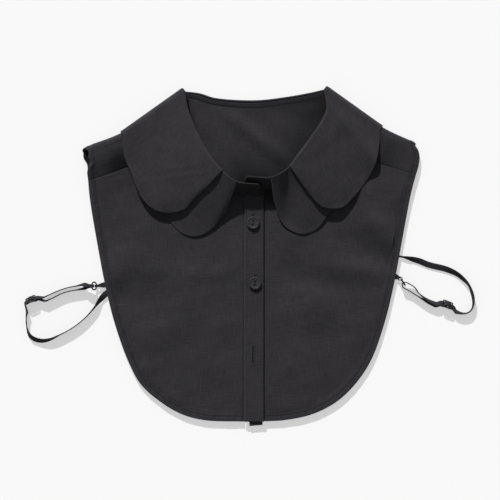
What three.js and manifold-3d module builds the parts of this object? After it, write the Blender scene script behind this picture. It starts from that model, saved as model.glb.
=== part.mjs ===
import * as THREE from 'three';
import { mergeVertices } from 'three/addons/utils/BufferGeometryUtils.js';
import Module from 'manifold-3d';

// A detachable peter pan collar with double round lobes, lying flat and face up on a table.
// Millimetres. X runs to the right as seen from above, Y towards the back of the neck, Z up.
// Left and right in the names are the wearer's, so the right side lies at negative X.

// Panels
const shoulderSpan = 336;
const frontLength = 270;
const neckRise = 62;
const shoulderSlope = 35.5;
const seamDrop = 30;
const underarmDrop = 105;
// Neck and collar
const neckWidth = 145;
const neckDepth = 96;
const backNeckDrop = 15;
const bandWidth = 7;
const standSpread = 12;
const standTop = 25;
const collarFall = 77;
const backFall = 75;
const petalFall = 75;
const lobeLift = 8.7;
const petalLift = 2.8;
const rollRadius = 1.3;
// Front opening
const placketWidth = 20;
const placketTail = 4;
const buttonholeLength = 17;
const slitWidth = 1.6;
const buttonDiameter = 13;
const buttonHeight = 2.6;
const threadDiameter = 0.9;
// Cloth walls, and the heights of the layers' middle faces
const panelWall = 1;
const collarWall = 1.2;
const upperPlacketWall = 1.4;
const lowerPlacketWall = 1.2;
const clothGap = 0.3;
const seamGap = 0.8;
const hemSpace = 2.1;
const frontHeight = 5;
const neckSeamHeight = 6.5;
const neckFold = 3.05;
// Side straps
const strapWidth = 6;
const strapWall = 1;
const tabWidth = 5.4;
const tabWall = 0.6;
const ringDiameter = 9;
const ringWire = 1.4;
const sliderWidth = 9;
const sliderWall = 1.2;
const sliderBar = 1.3;
const sliderSlot = 3.5;
// Number of steps in the cloth grids
const lobeSteps = 14;
const fallSteps = 6;
const foldSteps = 5;
const backSteps = 14;
const shoulderSteps = 8;
const panelSteps = 13;

const backOnTable = panelWall / 2;
const backOverCollar = collarWall + clothGap + panelWall / 2;
const frontHem = panelWall + hemSpace + panelWall / 2;
const layerStep = panelWall / 2 + clothGap + collarWall / 2;
const cornerHeight = frontLength + neckRise;
const lowerPlacketHeight = frontHem + 0.2;
const upperPlacketHeight =
  lowerPlacketHeight + lowerPlacketWall / 2 + 2 * clothGap + upperPlacketWall / 2;
const ringRadius = (ringDiameter - ringWire) / 2;
const ringHeight = ringWire / 2 + tabWall + 2 * clothGap + 0.1;

// Each side has its own tables, because the cloth doesn't lie quite evenly.
// neck: the roll line from the lapped end of the band to the neck corner,
//   across as a share of half the neck width, down of the neck depth, rise of the stand.
// outline: the armhole and hem, across as a share of half the shoulder span,
//   down from the shoulder tip as a share of the front length.
// lobe and petal: the fall from the roll line to the edge at places along it, as a share of
//   the fall, its slant below the horizontal in degrees, and the lift of the edge as a share.
const right = {
  sign: -1,
  corner: { across: 0.99, down: 0 },
  shoulderFall: 0.985,
  collarEndFold: 3.2,
  tip: { across: 0.996, down: 0.006 },
  tipFold: 4.5,
  seamAlong: 0.61,
  seamStart: neckSeamHeight,
  lobeFrom: 0.317,
  petalFrom: 0.18,
  petalTo: 0.78,
  neck: [
    { across: -0.1, down: 1, rise: 1 },
    { across: 0.235, down: 0.969, rise: 1 },
    { across: 0.44, down: 0.854, rise: 0.95 },
    { across: 0.6, down: 0.716, rise: 0.8 },
    { across: 0.775, down: 0.49, rise: 0.5 },
    { across: 0.916, down: 0.208, rise: 0.15 },
  ],
  outline: [
    { across: 1, down: 0.05 },
    { across: 0.976, down: 0.178 },
    { across: 0.929, down: 0.356 },
    { across: 0.881, down: 0.511 },
    { across: 0.827, down: 0.644 },
    { across: 0.75, down: 0.778 },
    { across: 0.673, down: 0.867 },
    { across: 0.554, down: 0.933 },
    { across: 0.429, down: 0.978 },
    { across: 0.292, down: 1 },
    { across: 0.06, down: 1.005 },
  ],
  lobe: [
    { along: 0, fall: 0.41, slant: 46.3, lift: 1.6 },
    { along: 0.12, fall: 0.69, slant: 57, lift: 1.25 },
    { along: 0.25, fall: 0.9, slant: 58.5, lift: 1 },
    { along: 0.4, fall: 1.065, slant: 55.5, lift: 0.95 },
    { along: 0.55, fall: 1.117, slant: 51.1, lift: 0.85 },
    { along: 0.7, fall: 1.06, slant: 43.8, lift: 0.72 },
    { along: 0.85, fall: 1.045, slant: 39.4, lift: 0.6 },
    { along: 1, fall: 0.985, slant: shoulderSlope, lift: 0.5 },
  ],
  petal: [
    { along: 0, fall: 0.427, slant: 69.9, lift: 1.6 },
    { along: 0.12, fall: 0.705, slant: 73, lift: 1.15 },
    { along: 0.25, fall: 0.936, slant: 70.9, lift: 1 },
    { along: 0.38, fall: 1.044, slant: 65.9, lift: 1 },
    { along: 0.5, fall: 1.044, slant: 61, lift: 1 },
    { along: 0.65, fall: 1.01, slant: 56.3, lift: 1 },
    { along: 0.8, fall: 0.957, slant: 51.2, lift: 1 },
    { along: 1, fall: 0.867, slant: 47.5, lift: 1 },
  ],
};
const left = {
  sign: 1,
  corner: { across: 1.007, down: -0.02 },
  shoulderFall: 0.892,
  collarEndFold: 3,
  tip: { across: 0.957, down: -0.0155 },
  tipFold: 2.5,
  seamAlong: 0.6,
  seamStart: neckSeamHeight - 1.7,
  lobeFrom: 0.345,
  petalFrom: 0.2,
  petalTo: 0.69,
  neck: [
    { across: -0.124, down: 0.917, rise: 1 },
    { across: 0.262, down: 0.922, rise: 1 },
    { across: 0.492, down: 0.81, rise: 0.95 },
    { across: 0.563, down: 0.74, rise: 0.88 },
    { across: 0.757, down: 0.542, rise: 0.58 },
    { across: 0.932, down: 0.344, rise: 0.3 },
    { across: 1.003, down: 0.208, rise: 0.14 },
  ],
  outline: [
    { across: 0.98, down: 0.02 },
    { across: 0.975, down: 0.06 },
    { across: 0.935, down: 0.156 },
    { across: 0.881, down: 0.333 },
    { across: 0.827, down: 0.511 },
    { across: 0.774, down: 0.644 },
    { across: 0.696, down: 0.778 },
    { across: 0.601, down: 0.867 },
    { across: 0.488, down: 0.933 },
    { across: 0.345, down: 0.978 },
    { across: 0.179, down: 1 },
    { across: 0.065, down: 1.004 },
  ],
  lobe: [
    { along: 0, fall: 0.425, slant: 54.7, lift: 1.6 },
    { along: 0.12, fall: 0.656, slant: 64.2, lift: 1.25 },
    { along: 0.25, fall: 0.844, slant: 66.4, lift: 1 },
    { along: 0.4, fall: 0.99, slant: 64.8, lift: 0.95 },
    { along: 0.55, fall: 1.01, slant: 61.6, lift: 0.85 },
    { along: 0.7, fall: 0.996, slant: 55.9, lift: 0.72 },
    { along: 0.85, fall: 0.965, slant: 47.7, lift: 0.6 },
    { along: 1, fall: 0.892, slant: shoulderSlope, lift: 0.45 },
  ],
  petal: [
    { along: 0, fall: 0.315, slant: 84, lift: 1.6 },
    { along: 0.12, fall: 0.627, slant: 87.5, lift: 1.15 },
    { along: 0.25, fall: 0.827, slant: 84.7, lift: 1 },
    { along: 0.38, fall: 0.961, slant: 79.9, lift: 1 },
    { along: 0.5, fall: 0.999, slant: 74, lift: 1 },
    { along: 0.65, fall: 0.92, slant: 67.3, lift: 1 },
    { along: 0.8, fall: 0.893, slant: 61.8, lift: 1 },
    { along: 1, fall: 0.84, slant: 57.3, lift: 1 },
  ],
};
// The back of the roll line, across as a share of half the neck width, signed,
// and drop below the neck corners as a share of the back neck drop
const backNeck = [
  { across: -0.745, drop: 0.47 },
  { across: -0.54, drop: 0.8 },
  { across: 0.014, drop: 1 },
  { across: 0.43, drop: 0.67 },
  { across: 0.77, drop: 0.2 },
];
// Buttonholes, up as a share of the front length, across of the placket width
const buttonholes = [
  { name: 'button_1', up: 0.73, across: -0.05 },
  { name: 'button_2', up: 0.507, across: 0.05 },
  { name: null, up: 0.241, across: -0.05 },
];
// Soft folds of the fronts and of the back inside the neck: place as shares of half the
// shoulder span and of the front length, half length and half width as shares of the front
// length, turn in degrees, and height in millimetres
const frontFolds = [
  { across: 0.57, up: 0.585, length: 0.2, width: 0.035, turn: -6, height: 1.2 },
  { across: 0.55, up: 0.525, length: 0.19, width: 0.04, turn: -6, height: -0.9 },
  { across: 0.63, up: 0.66, length: 0.13, width: 0.045, turn: -35, height: -1 },
  { across: 0.78, up: 0.72, length: 0.11, width: 0.05, turn: -48, height: 1.2 },
  { across: -0.8, up: 0.64, length: 0.09, width: 0.05, turn: 70, height: 1 },
  { across: -0.3, up: 0.5, length: 0.15, width: 0.04, turn: 3, height: -0.8 },
  { across: -0.45, up: 0.42, length: 0.2, width: 0.06, turn: 65, height: 0.8 },
];
const backFolds = [
  { across: 0.02, up: 1.05, length: 0.14, width: 0.045, turn: -32, height: 1.4 },
];

const vec = (x, y, z = 0) => new THREE.Vector3(x, y, z);
const lerp = THREE.MathUtils.lerp;
const smoothstep = THREE.MathUtils.smoothstep;
const radians = THREE.MathUtils.degToRad;
const up = vec(0, 0, 1);

// A smooth curve through points, read by its length from 0 to 1
function curveThrough(points) {
  return new THREE.CatmullRomCurve3(points, false, 'centripetal');
}

// The smooth value of a table's column at a place between its rows, which is a value of the
// key column, or a row number where there is no key
function columnAt(rows, column, place, key) {
  const places = rows.map((row, i) => (key ? row[key] : i));
  let i = 0;
  while (i < rows.length - 2 && place > places[i + 1]) i += 1;
  const slope = (k) => {
    const a = Math.max(k - 1, 0);
    const b = Math.min(k + 1, rows.length - 1);
    return (rows[b][column] - rows[a][column]) / (places[b] - places[a]);
  };
  const step = places[i + 1] - places[i];
  const t = (place - places[i]) / step;
  const start = rows[i][column];
  const rise = rows[i + 1][column] - start;
  const m0 = slope(i) * step;
  const m1 = slope(i + 1) * step;
  return start + m0 * t + (3 * rise - 2 * m0 - m1) * t * t + (m0 + m1 - 2 * rise) * t * t * t;
}

// The height that soft folds add at a place
function foldHeight(folds, x, y) {
  let height = 0;
  for (const fold of folds) {
    const turn = radians(fold.turn);
    const dx = x - (fold.across * shoulderSpan) / 2;
    const dy = y - fold.up * frontLength;
    const a = (dx * Math.cos(turn) + dy * Math.sin(turn)) / (fold.length * frontLength);
    const b = (dy * Math.cos(turn) - dx * Math.sin(turn)) / (fold.width * frontLength);
    height += fold.height * Math.exp(-a * a - b * b);
  }
  return height;
}

// The shoulder of one side: the axis that the layers fold round, and their radii
function makeShoulder(side) {
  const slope = radians(shoulderSlope);
  const out = vec(side.sign * Math.cos(slope), -Math.sin(slope));
  const inward = vec(-side.sign * Math.sin(slope), -Math.cos(slope));
  const corner = vec(
    (side.sign * side.corner.across * neckWidth) / 2,
    cornerHeight - neckDepth * side.corner.down,
  );
  const start = corner.clone().addScaledVector(inward, neckFold + layerStep + collarWall / 2);
  const length = side.shoulderFall * collarFall;
  const axis = (w) => start.clone().addScaledVector(out, w);
  const tip = vec(
    (side.sign * side.tip.across * shoulderSpan) / 2,
    frontLength * (1 - side.tip.down),
  );
  const seamStart = bandWidth + seamGap;
  const panelAxis = curveThrough([axis(seamStart), axis(length / 2), axis(length), tip]);
  const panelRadius = (w) => {
    const beyond = (w - length) / (seamStart + panelAxis.getLength() - length);
    return w < length
      ? lerp(neckFold, side.collarEndFold, w / length)
      : lerp(side.collarEndFold, side.tipFold, beyond);
  };
  return { out, inward, length, axis, panelAxis, panelRadius, seamStart };
}
right.shoulder = makeShoulder(right);
left.shoulder = makeShoulder(left);

// The roll line of one side's front, whose height is that of the collar just outside it
function makeRoll(side) {
  const cornerTop = backOverCollar + 2 * neckFold + layerStep;
  const points = side.neck.map((row) =>
    vec(
      (side.sign * row.across * neckWidth) / 2,
      cornerHeight - neckDepth * row.down,
      lerp(cornerTop, standTop, row.rise),
    ),
  );
  return curveThrough([...points, side.shoulder.axis(0).setZ(cornerTop)]);
}
right.roll = makeRoll(right);
left.roll = makeRoll(left);
const backRoll = curveThrough([
  right.shoulder.axis(0),
  ...backNeck.map((row) =>
    vec((row.across * neckWidth) / 2, cornerHeight - backNeckDrop * row.drop),
  ),
  left.shoulder.axis(0),
]);

// The direction away from the neck at a place along one side's front
function outwardAt(side, s) {
  const tangent = side.roll.getTangentAt(s).setZ(0).normalize();
  const normal = vec(side.sign * tangent.y, -side.sign * tangent.x);
  return normal.lerp(side.shoulder.out, smoothstep(s, 0.8, 1)).normalize();
}

// The direction from the back roll line to the hem side, at a place from right to left
function backwardAt(t) {
  const angle = radians(lerp(-180 + shoulderSlope, -shoulderSlope, t));
  return vec(Math.cos(angle), Math.sin(angle));
}

// The circle that follows the hidden back edge of the collar
const backEdge = (() => {
  const a = right.shoulder.axis(right.shoulder.length);
  const b = left.shoulder.axis(left.shoulder.length);
  const middle = a.clone().lerp(b, 0.5);
  const deep = backRoll.getPointAt(0.5).addScaledVector(backwardAt(0.5), backFall);
  const sagitta = middle.distanceTo(deep);
  const chord = a.distanceTo(b);
  const radius = (chord * chord) / (8 * sagitta) + sagitta / 2;
  const centre = deep.clone().add(middle.sub(deep).normalize().multiplyScalar(radius));
  return { centre, radius: radius + 4 };
})();

// The height of the back panel: over the collar's back, or on the table outside it
function backHeight(x, y) {
  const away = Math.hypot(x - backEdge.centre.x, y - backEdge.centre.y) - backEdge.radius;
  return lerp(backOverCollar, backOnTable, smoothstep(away, 0, 14));
}

// The point of a shoulder's wrap at an angle round it, from 90 on top to -90 below
function wrapPoint(side, place, radius, angle, base) {
  const a = radians(angle);
  return place
    .clone()
    .addScaledVector(side.shoulder.inward, -radius * Math.cos(a))
    .setZ(base + radius * Math.sin(a));
}
function wrapDirection(side, angle) {
  const a = radians(angle);
  return side.shoulder.inward.clone().multiplyScalar(-Math.cos(a)).setZ(Math.sin(a));
}

// A point on the rolled edge that turns from the fall back towards the band
function curlPoint(start, face, away, angle) {
  const a = radians(angle);
  return start
    .clone()
    .addScaledVector(face, -rollRadius * (1 - Math.cos(a)))
    .addScaledVector(away, -rollRadius * Math.sin(a));
}

// The neck line all the way round, as stations from the right lapped end to the left one.
// Each has the start of the fall, the face and outward directions, the turn of the roll,
// and the foot of the band.
function frontStation(side, s) {
  const away = outwardAt(side, s);
  const roll = side.roll.getPointAt(s);
  const shoulderSeam = backOverCollar + 2 * neckFold;
  const start = lerp(side.seamStart, neckSeamHeight, smoothstep(s, 0.05, 0.3));
  const foot = roll
    .clone()
    .addScaledVector(away, lerp(standSpread, bandWidth, smoothstep(s, 0.3, 1)))
    .setZ(lerp(start, shoulderSeam, smoothstep(s, 0.45, 1)));
  return {
    start: roll.addScaledVector(away, rollRadius),
    face: up.clone(),
    away,
    turn: lerp(120, 180, smoothstep(s, 0.3, 0.95)),
    foot,
  };
}
function foldStation(side, angle) {
  const { axis, out } = side.shoulder;
  const base = backOverCollar + neckFold;
  return {
    start: wrapPoint(side, axis(rollRadius), neckFold + layerStep, angle, base),
    face: wrapDirection(side, angle),
    away: out.clone(),
    turn: 180,
    foot: wrapPoint(side, axis(bandWidth), neckFold, angle, base),
  };
}
function backStation(t) {
  const away = backwardAt(t);
  const roll = backRoll.getPointAt(t);
  return {
    start: roll.clone().addScaledVector(away, rollRadius).setZ(collarWall / 2),
    face: vec(0, 0, -1),
    away,
    turn: 180,
    foot: roll.clone().addScaledVector(away, bandWidth).setZ(backOverCollar),
  };
}
// The edge of the panels, just outside the foot of the band
function neckEdge(side, s) {
  const station = frontStation(side, s);
  return station.foot.addScaledVector(station.away, seamGap);
}
// The place along a side's neck edge where it crosses a given X
function neckEdgeCrossing(side, x) {
  let low = 0;
  let high = 0.5;
  for (let i = 0; i < 40; i += 1) {
    const middle = (low + high) / 2;
    if (side.sign * (neckEdge(side, middle).x - x) < 0) low = middle;
    else high = middle;
  }
  return low;
}

function makeOutline(side) {
  const tip = side.shoulder.panelAxis.getPoint(1);
  const points = side.outline.map((row) =>
    vec((side.sign * row.across * shoulderSpan) / 2, frontLength * (1 - row.down)),
  );
  return curveThrough([tip, ...points]);
}
right.edge = makeOutline(right);
left.edge = makeOutline(left);

// Steps from 0 to 1
function steps(count) {
  return Array.from({ length: count + 1 }, (_, i) => i / count);
}

// A grid of points between four sides: bottom and top are functions of u, start and end of v
function patch(us, vs, bottom, top, start, end) {
  const c00 = bottom(0);
  const c10 = bottom(1);
  const c01 = top(0);
  const c11 = top(1);
  return us.map((u) =>
    vs.map((v) => {
      const across = bottom(u).lerp(top(u), v);
      const along = start(v).lerp(end(v), u);
      const corners = c00.clone().lerp(c10, u).lerp(c01.clone().lerp(c11, u), v);
      return across.add(along).sub(corners);
    }),
  );
}

// A closed body made by giving grids of points a wall; grids that share points are one cloth
function clothGeometry(grids, wall) {
  const points = [];
  const numbers = new Map();
  const quads = [];
  const numberOf = (p) => {
    const key = p.toArray().map((value) => value.toFixed(4)).join();
    if (!numbers.has(key)) {
      numbers.set(key, points.length);
      points.push(p);
    }
    return numbers.get(key);
  };
  for (const grid of grids) {
    const ids = grid.map((line) => line.map(numberOf));
    for (let i = 0; i + 1 < ids.length; i += 1) {
      for (let j = 0; j + 1 < ids[i].length; j += 1) {
        quads.push([ids[i][j], ids[i + 1][j], ids[i + 1][j + 1], ids[i][j + 1]]);
      }
    }
  }
  const normals = points.map(() => vec(0, 0));
  for (const [a, b, c, d] of quads) {
    const one = points[c].clone().sub(points[a]);
    const other = points[d].clone().sub(points[b]);
    const normal = one.cross(other);
    for (const id of [a, b, c, d]) normals[id].add(normal);
  }
  const positions = [];
  for (const half of [wall / 2, -wall / 2]) {
    points.forEach((p, i) => {
      positions.push(...p.clone().addScaledVector(normals[i].normalize(), half).toArray());
    });
  }
  const lower = points.length;
  const used = new Set(
    quads.flatMap((q) => q.map((a, k) => `${a},${q[(k + 1) % 4]}`)),
  );
  const index = [];
  for (const [a, b, c, d] of quads) {
    const short = points[a].distanceTo(points[c]) < points[b].distanceTo(points[d]);
    const [p, q, r, s] = short ? [a, b, c, d] : [b, c, d, a];
    index.push(p, q, r, p, r, s);
    index.push(lower + p, lower + r, lower + q, lower + p, lower + s, lower + r);
    for (const [e, f] of [[a, b], [b, c], [c, d], [d, a]]) {
      if (!used.has(`${f},${e}`)) {
        index.push(f, e, lower + e, f, lower + e, lower + f);
      }
    }
  }
  const geometry = new THREE.BufferGeometry();
  geometry.setAttribute('position', new THREE.Float32BufferAttribute(positions, 3));
  geometry.setIndex(index);
  return geometry;
}

const wasm = await Module();
wasm.setup();
function solidOf(geometry) {
  const bare = geometry.clone();
  bare.deleteAttribute('normal');
  bare.deleteAttribute('uv');
  const merged = mergeVertices(bare, 1e-4);
  return new wasm.Manifold(
    new wasm.Mesh({
      numProp: 3,
      vertProperties: merged.attributes.position.array,
      triVerts: new Uint32Array(merged.index.array),
    }),
  );
}
function geometryOf(solid) {
  const { vertProperties, triVerts } = solid.getMesh();
  const geometry = new THREE.BufferGeometry();
  geometry.setAttribute('position', new THREE.BufferAttribute(vertProperties, 3));
  geometry.setIndex(new THREE.BufferAttribute(triVerts, 1));
  return geometry;
}

// The fall of a lobe or petal from its start to its edge
function fallLine(start, edge, inner) {
  return steps(fallSteps).map((v) => {
    const point = start.clone().lerp(edge, v);
    const drop = inner * v + (1 - inner) * v * v;
    return point.setZ(lerp(start.z, edge.z, drop));
  });
}

// The upper collar: the right lobe, the fold over the right shoulder, the hidden back,
// the fold over the left shoulder, and the left lobe
function upperCollar() {
  const curlLine = (station) =>
    [1, 0.66, 0.33].map((share) =>
      curlPoint(station.start, station.face, station.away, station.turn * share),
    );
  const lobeColumn = (side, u) => {
    const station = frontStation(side, lerp(side.lobeFrom, 1, u));
    const slant = radians(columnAt(side.lobe, 'slant', u, 'along'));
    const fall = collarFall * columnAt(side.lobe, 'fall', u, 'along');
    const foot = side.roll.getPointAt(lerp(side.lobeFrom, 1, u));
    const edge = foot.add(
      vec(side.sign * fall * Math.cos(slant), -fall * Math.sin(slant)),
    );
    const { panelRadius, length } = side.shoulder;
    const shoulderTop = backOverCollar + 2 * panelRadius(length) + layerStep;
    const lifted = frontHeight + panelWall / 2
      + lobeLift * columnAt(side.lobe, 'lift', u, 'along');
    edge.setZ(lerp(lifted, shoulderTop, smoothstep(u, 0.8, 1)));
    const line = fallLine(station.start, edge, lerp(0.6, 1, smoothstep(u, 0.7, 1)));
    return [...curlLine(station), ...line];
  };
  const foldColumn = (side, angle) => {
    const station = foldStation(side, angle);
    const { axis, panelRadius, length } = side.shoulder;
    const line = steps(fallSteps).map((v) => {
      const w = lerp(rollRadius, length, v);
      const radius = panelRadius(w) + layerStep;
      return wrapPoint(side, axis(w), radius, angle, collarWall / 2 + radius);
    });
    return [...curlLine(station), ...line];
  };
  const backColumn = (t) => {
    const station = backStation(t);
    const ends = [right.shoulder.length, left.shoulder.length];
    const extra = backFall - (ends[0] + ends[1]) / 2;
    const fall = lerp(ends[0], ends[1], t) + extra * 4 * t * (1 - t);
    const edge = station.start.clone().addScaledVector(station.away, fall - rollRadius);
    return [...curlLine(station), ...fallLine(station.start, edge, 1)];
  };
  const inner = steps(foldSteps).slice(1, -1);
  const columns = [
    ...steps(lobeSteps).map((u) => lobeColumn(right, u)),
    ...inner.map((t) => foldColumn(right, lerp(90, -90, t))),
    ...steps(backSteps).map(backColumn),
    ...inner.map((t) => foldColumn(left, lerp(-90, 90, t))),
    ...steps(lobeSteps).map((u) => lobeColumn(left, 1 - u)),
  ];
  return clothGeometry([columns], collarWall);
}

// A petal: the second lobe of one side, which shows below the upper one
function petal(side) {
  const columns = steps(12).map((u) => {
    const s = lerp(side.petalFrom, side.petalTo, u);
    const hidden = smoothstep(s, side.lobeFrom - 0.06, side.lobeFrom - 0.01);
    const roll = side.roll.getPointAt(s);
    const away = outwardAt(side, s);
    const slant = radians(columnAt(side.petal, 'slant', u, 'along'));
    const fall = petalFall * columnAt(side.petal, 'fall', u, 'along');
    const edge = roll.clone().add(
      vec(side.sign * fall * Math.cos(slant), -fall * Math.sin(slant)),
    );
    edge.z = frontHeight + panelWall / 2
      + petalLift * columnAt(side.petal, 'lift', u, 'along');
    const start = roll.clone().addScaledVector(away, lerp(clothGap, 2.3 * rollRadius, hidden));
    start.z -= lerp(1.5 * rollRadius - 0.8, collarWall / 2 + panelWall / 2 + 0.65, hidden);
    return fallLine(start, edge, 1.05);
  });
  const turned = side.sign < 0 ? columns : columns.reverse();
  return clothGeometry([turned], panelWall);
}

// The neck band: from its lapped end on the right front, round the back, to the left front
function neckBand() {
  const stations = [
    ...steps(18).map((s) => frontStation(right, s)),
    ...steps(foldSteps).slice(1, -1).map((t) => foldStation(right, lerp(90, -90, t))),
    ...steps(backSteps).map(backStation),
    ...steps(foldSteps).slice(1, -1).map((t) => foldStation(left, lerp(-90, 90, t))),
    ...steps(18).map((s) => frontStation(left, 1 - s)),
  ];
  const columns = stations.map(({ start, face, away, turn, foot }) => {
    const a = radians(turn);
    const top = curlPoint(start, face, away, turn)
      .addScaledVector(face, -seamGap * Math.sin(a))
      .addScaledVector(away, -seamGap * Math.cos(a));
    return steps(3).map((v) => top.clone().lerp(foot, v));
  });
  return clothGeometry([columns], panelWall);
}

// The back panel, with the parts that fold forward over the shoulders
function backPanel() {
  const inset = 1;
  const topEdge = [
    ...steps(shoulderSteps).map((t) => right.shoulder.panelAxis.getPointAt(1 - t)),
    ...steps(10).slice(1, -1).map((t) => backStation(t).foot
      .addScaledVector(backwardAt(t), seamGap)),
    ...steps(shoulderSteps).map((t) => left.shoulder.panelAxis.getPointAt(t)),
  ];
  const count = topEdge.length - 1;
  const share = (side) => underarmDrop / side.edge.getLength();
  const lengths = [right, left].map((side) => side.edge.getLength() - underarmDrop);
  const total = lengths[0] + lengths[1];
  const hem = (u) => {
    const along = u * total;
    const side = along < lengths[0] ? right : left;
    const rest = along < lengths[0]
      ? along / lengths[0]
      : 1 - (along - lengths[0]) / lengths[1];
    return side.edge.getPointAt(lerp(share(side), 1, rest));
  };
  const us = steps(count);
  const grid = patch(
    us,
    steps(panelSteps),
    (u) => topEdge[Math.round(u * count)].clone(),
    hem,
    (v) => right.edge.getPointAt(share(right) * v),
    (v) => left.edge.getPointAt(share(left) * v),
  );
  const middle = backEdge.centre.x;
  grid.forEach((line, i) => {
    line.forEach((point, j) => {
      const rim = Math.min(j / 3, i / 3, (count - i) / 3, 1);
      if (j === panelSteps) point.x -= Math.sign(point.x - middle) * inset;
      point.z = backHeight(point.x, point.y)
        + Math.max(rim, 0) * foldHeight(backFolds, point.x, point.y);
    });
  });
  const flaps = [right, left].map((side) => {
    const { panelAxis, panelRadius, seamStart } = side.shoulder;
    const wrapAt = (t, angle) => {
      const place = panelAxis.getPointAt(t);
      const base = backHeight(place.x, place.y);
      const radius = panelRadius(seamStart + t * panelAxis.getLength());
      return wrapPoint(side, place, radius, angle, base + radius);
    };
    const flat = patch(
      steps(shoulderSteps),
      steps(6),
      (t) => wrapAt(t, 90),
      (t) => forwardSeam(side, t),
      (f) => (f === 0 ? wrapAt(0, 90) : neckEdge(side, lerp(1, side.seamAlong, f))),
      (f) => wrapAt(1, 90).lerp(forwardSeam(side, 1), f),
    );
    return flat.map((line, i) => {
      const first = line[0].z;
      const last = line[line.length - 1].z;
      const fold = steps(foldSteps).slice(0, -1).map((f) =>
        wrapAt(i / shoulderSteps, lerp(-90, 90, f)));
      line.forEach((point, j) => {
        const f = j / (line.length - 1);
        point.z += (i === 0 ? 0 : 1) * (first - last) * (f - f * f);
      });
      return [...fold, ...line].reverse();
    });
  });
  flaps[0].reverse();
  return clothGeometry([grid, ...flaps], panelWall);
}

// The seam where the part that folds forward meets the front, from the neck to the armhole
function forwardSeam(side, t) {
  const inner = neckEdge(side, side.seamAlong);
  const outer = side.edge.getPointAt(seamDrop / side.edge.getLength()).setZ(frontHeight - 0.4);
  return inner.lerp(outer, t);
}

// A front panel, from its placket to the armhole
function frontPanel(side, placketX) {
  const first = neckEdgeCrossing(side, placketX);
  const seamShare = (seamDrop + seamGap) / side.edge.getLength();
  const bottom = (u) => neckEdge(side, lerp(first, side.seamAlong, u));
  const hem = (u) => {
    const point = side.edge.getPointAt(lerp(1, seamShare, u));
    return point.setZ(lerp(frontHem, frontHeight - 0.4, smoothstep(u, 0.8, 1)));
  };
  const foot = hem(0).setX(placketX);
  const start = (v) => {
    const point = bottom(0).lerp(foot, v);
    const flat = lerp(frontHeight, frontHem, smoothstep(v, 0.85, 1));
    return point.setZ(lerp(bottom(0).z, flat, smoothstep(v, 0, 0.15)));
  };
  const shift = side.shoulder.inward.clone().multiplyScalar(seamGap);
  const end = (v) => forwardSeam(side, v).addScaledVector(shift, v > 0 ? 1 : 0);
  const corner = end(0);
  const top = (u) => (u === 0 ? foot.clone() : hem(u));
  const seamEnd = (v) => (v === 1 ? hem(1) : v === 0 ? corner.clone() : end(v));
  const us = steps(20);
  const vs = steps(panelSteps - 1);
  const grid = patch(us, vs, bottom, top, start, seamEnd);
  grid.forEach((line, i) => {
    line.forEach((point, j) => {
      const rim = Math.min(i / 3, (us.length - 1 - i) / 3, j / 3, (vs.length - 1 - j) / 3, 1);
      point.z += rim * foldHeight(frontFolds, point.x, point.y);
    });
  });
  const turned = side.sign < 0 ? grid : grid.reverse();
  return clothGeometry([turned], panelWall);
}

// A placket between two X places, with the height of its middle face and a tail below the hem
function placket(side, from, to, height, wall, tail) {
  const hemY = side.edge.getPointAt(1).y;
  const grid = steps(4).map((a) => {
    const x = lerp(from, to, a);
    const top = neckEdge(side, neckEdgeCrossing(side, x));
    return steps(16).map((v) => {
      const y = lerp(top.y, hemY - tail, v);
      return vec(x, y, lerp(top.z, height, smoothstep(v, 0, 0.1)));
    });
  });
  return clothGeometry([grid.reverse()], wall);
}

function buttonholePlace({ up: share, across }) {
  return vec(across * placketWidth, share * frontLength);
}

function upperPlacket() {
  const half = placketWidth / 2;
  let solid = solidOf(placket(right, -half, half, upperPlacketHeight, upperPlacketWall, 0));
  for (const hole of buttonholes) {
    const place = buttonholePlace(hole);
    const cut = new THREE.BoxGeometry(slitWidth, buttonholeLength, 4 * upperPlacketWall);
    cut.translate(place.x, place.y, upperPlacketHeight);
    solid = solid.subtract(solidOf(cut));
  }
  return geometryOf(solid);
}

// A rimmed button with two holes, on its shank of thread
function button(place) {
  const r = buttonDiameter / 2;
  const profile = [
    [0, 0],
    [0.7 * r, 0],
    [0.97 * r, 0.3 * buttonHeight],
    [r, 0.62 * buttonHeight],
    [0.93 * r, 0.95 * buttonHeight],
    [0.8 * r, buttonHeight],
    [0.66 * r, 0.72 * buttonHeight],
    [0, 0.66 * buttonHeight],
  ].map(([x, y]) => new THREE.Vector2(x, y));
  let solid = solidOf(new THREE.LatheGeometry(profile, 16).rotateX(Math.PI / 2));
  for (const end of [-1, 1]) {
    const hole = new THREE.CylinderGeometry(0.75, 0.75, 3 * buttonHeight, 8);
    solid = solid.subtract(solidOf(hole.rotateX(Math.PI / 2).translate(0, end * 1.6, 0)));
  }
  const bottom = upperPlacketHeight + upperPlacketWall / 2 + clothGap;
  const foot = lowerPlacketHeight + lowerPlacketWall / 2 + clothGap;
  const length = bottom - foot + 0.5 * buttonHeight;
  const shank = new THREE.CylinderGeometry(threadDiameter / 2, threadDiameter / 2, length, 8);
  shank.rotateX(Math.PI / 2).translate(0, 0, length / 2 + foot - bottom);
  solid = solid.add(solidOf(shank));
  return geometryOf(solid).translate(place.x, place.y, bottom);
}

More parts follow.
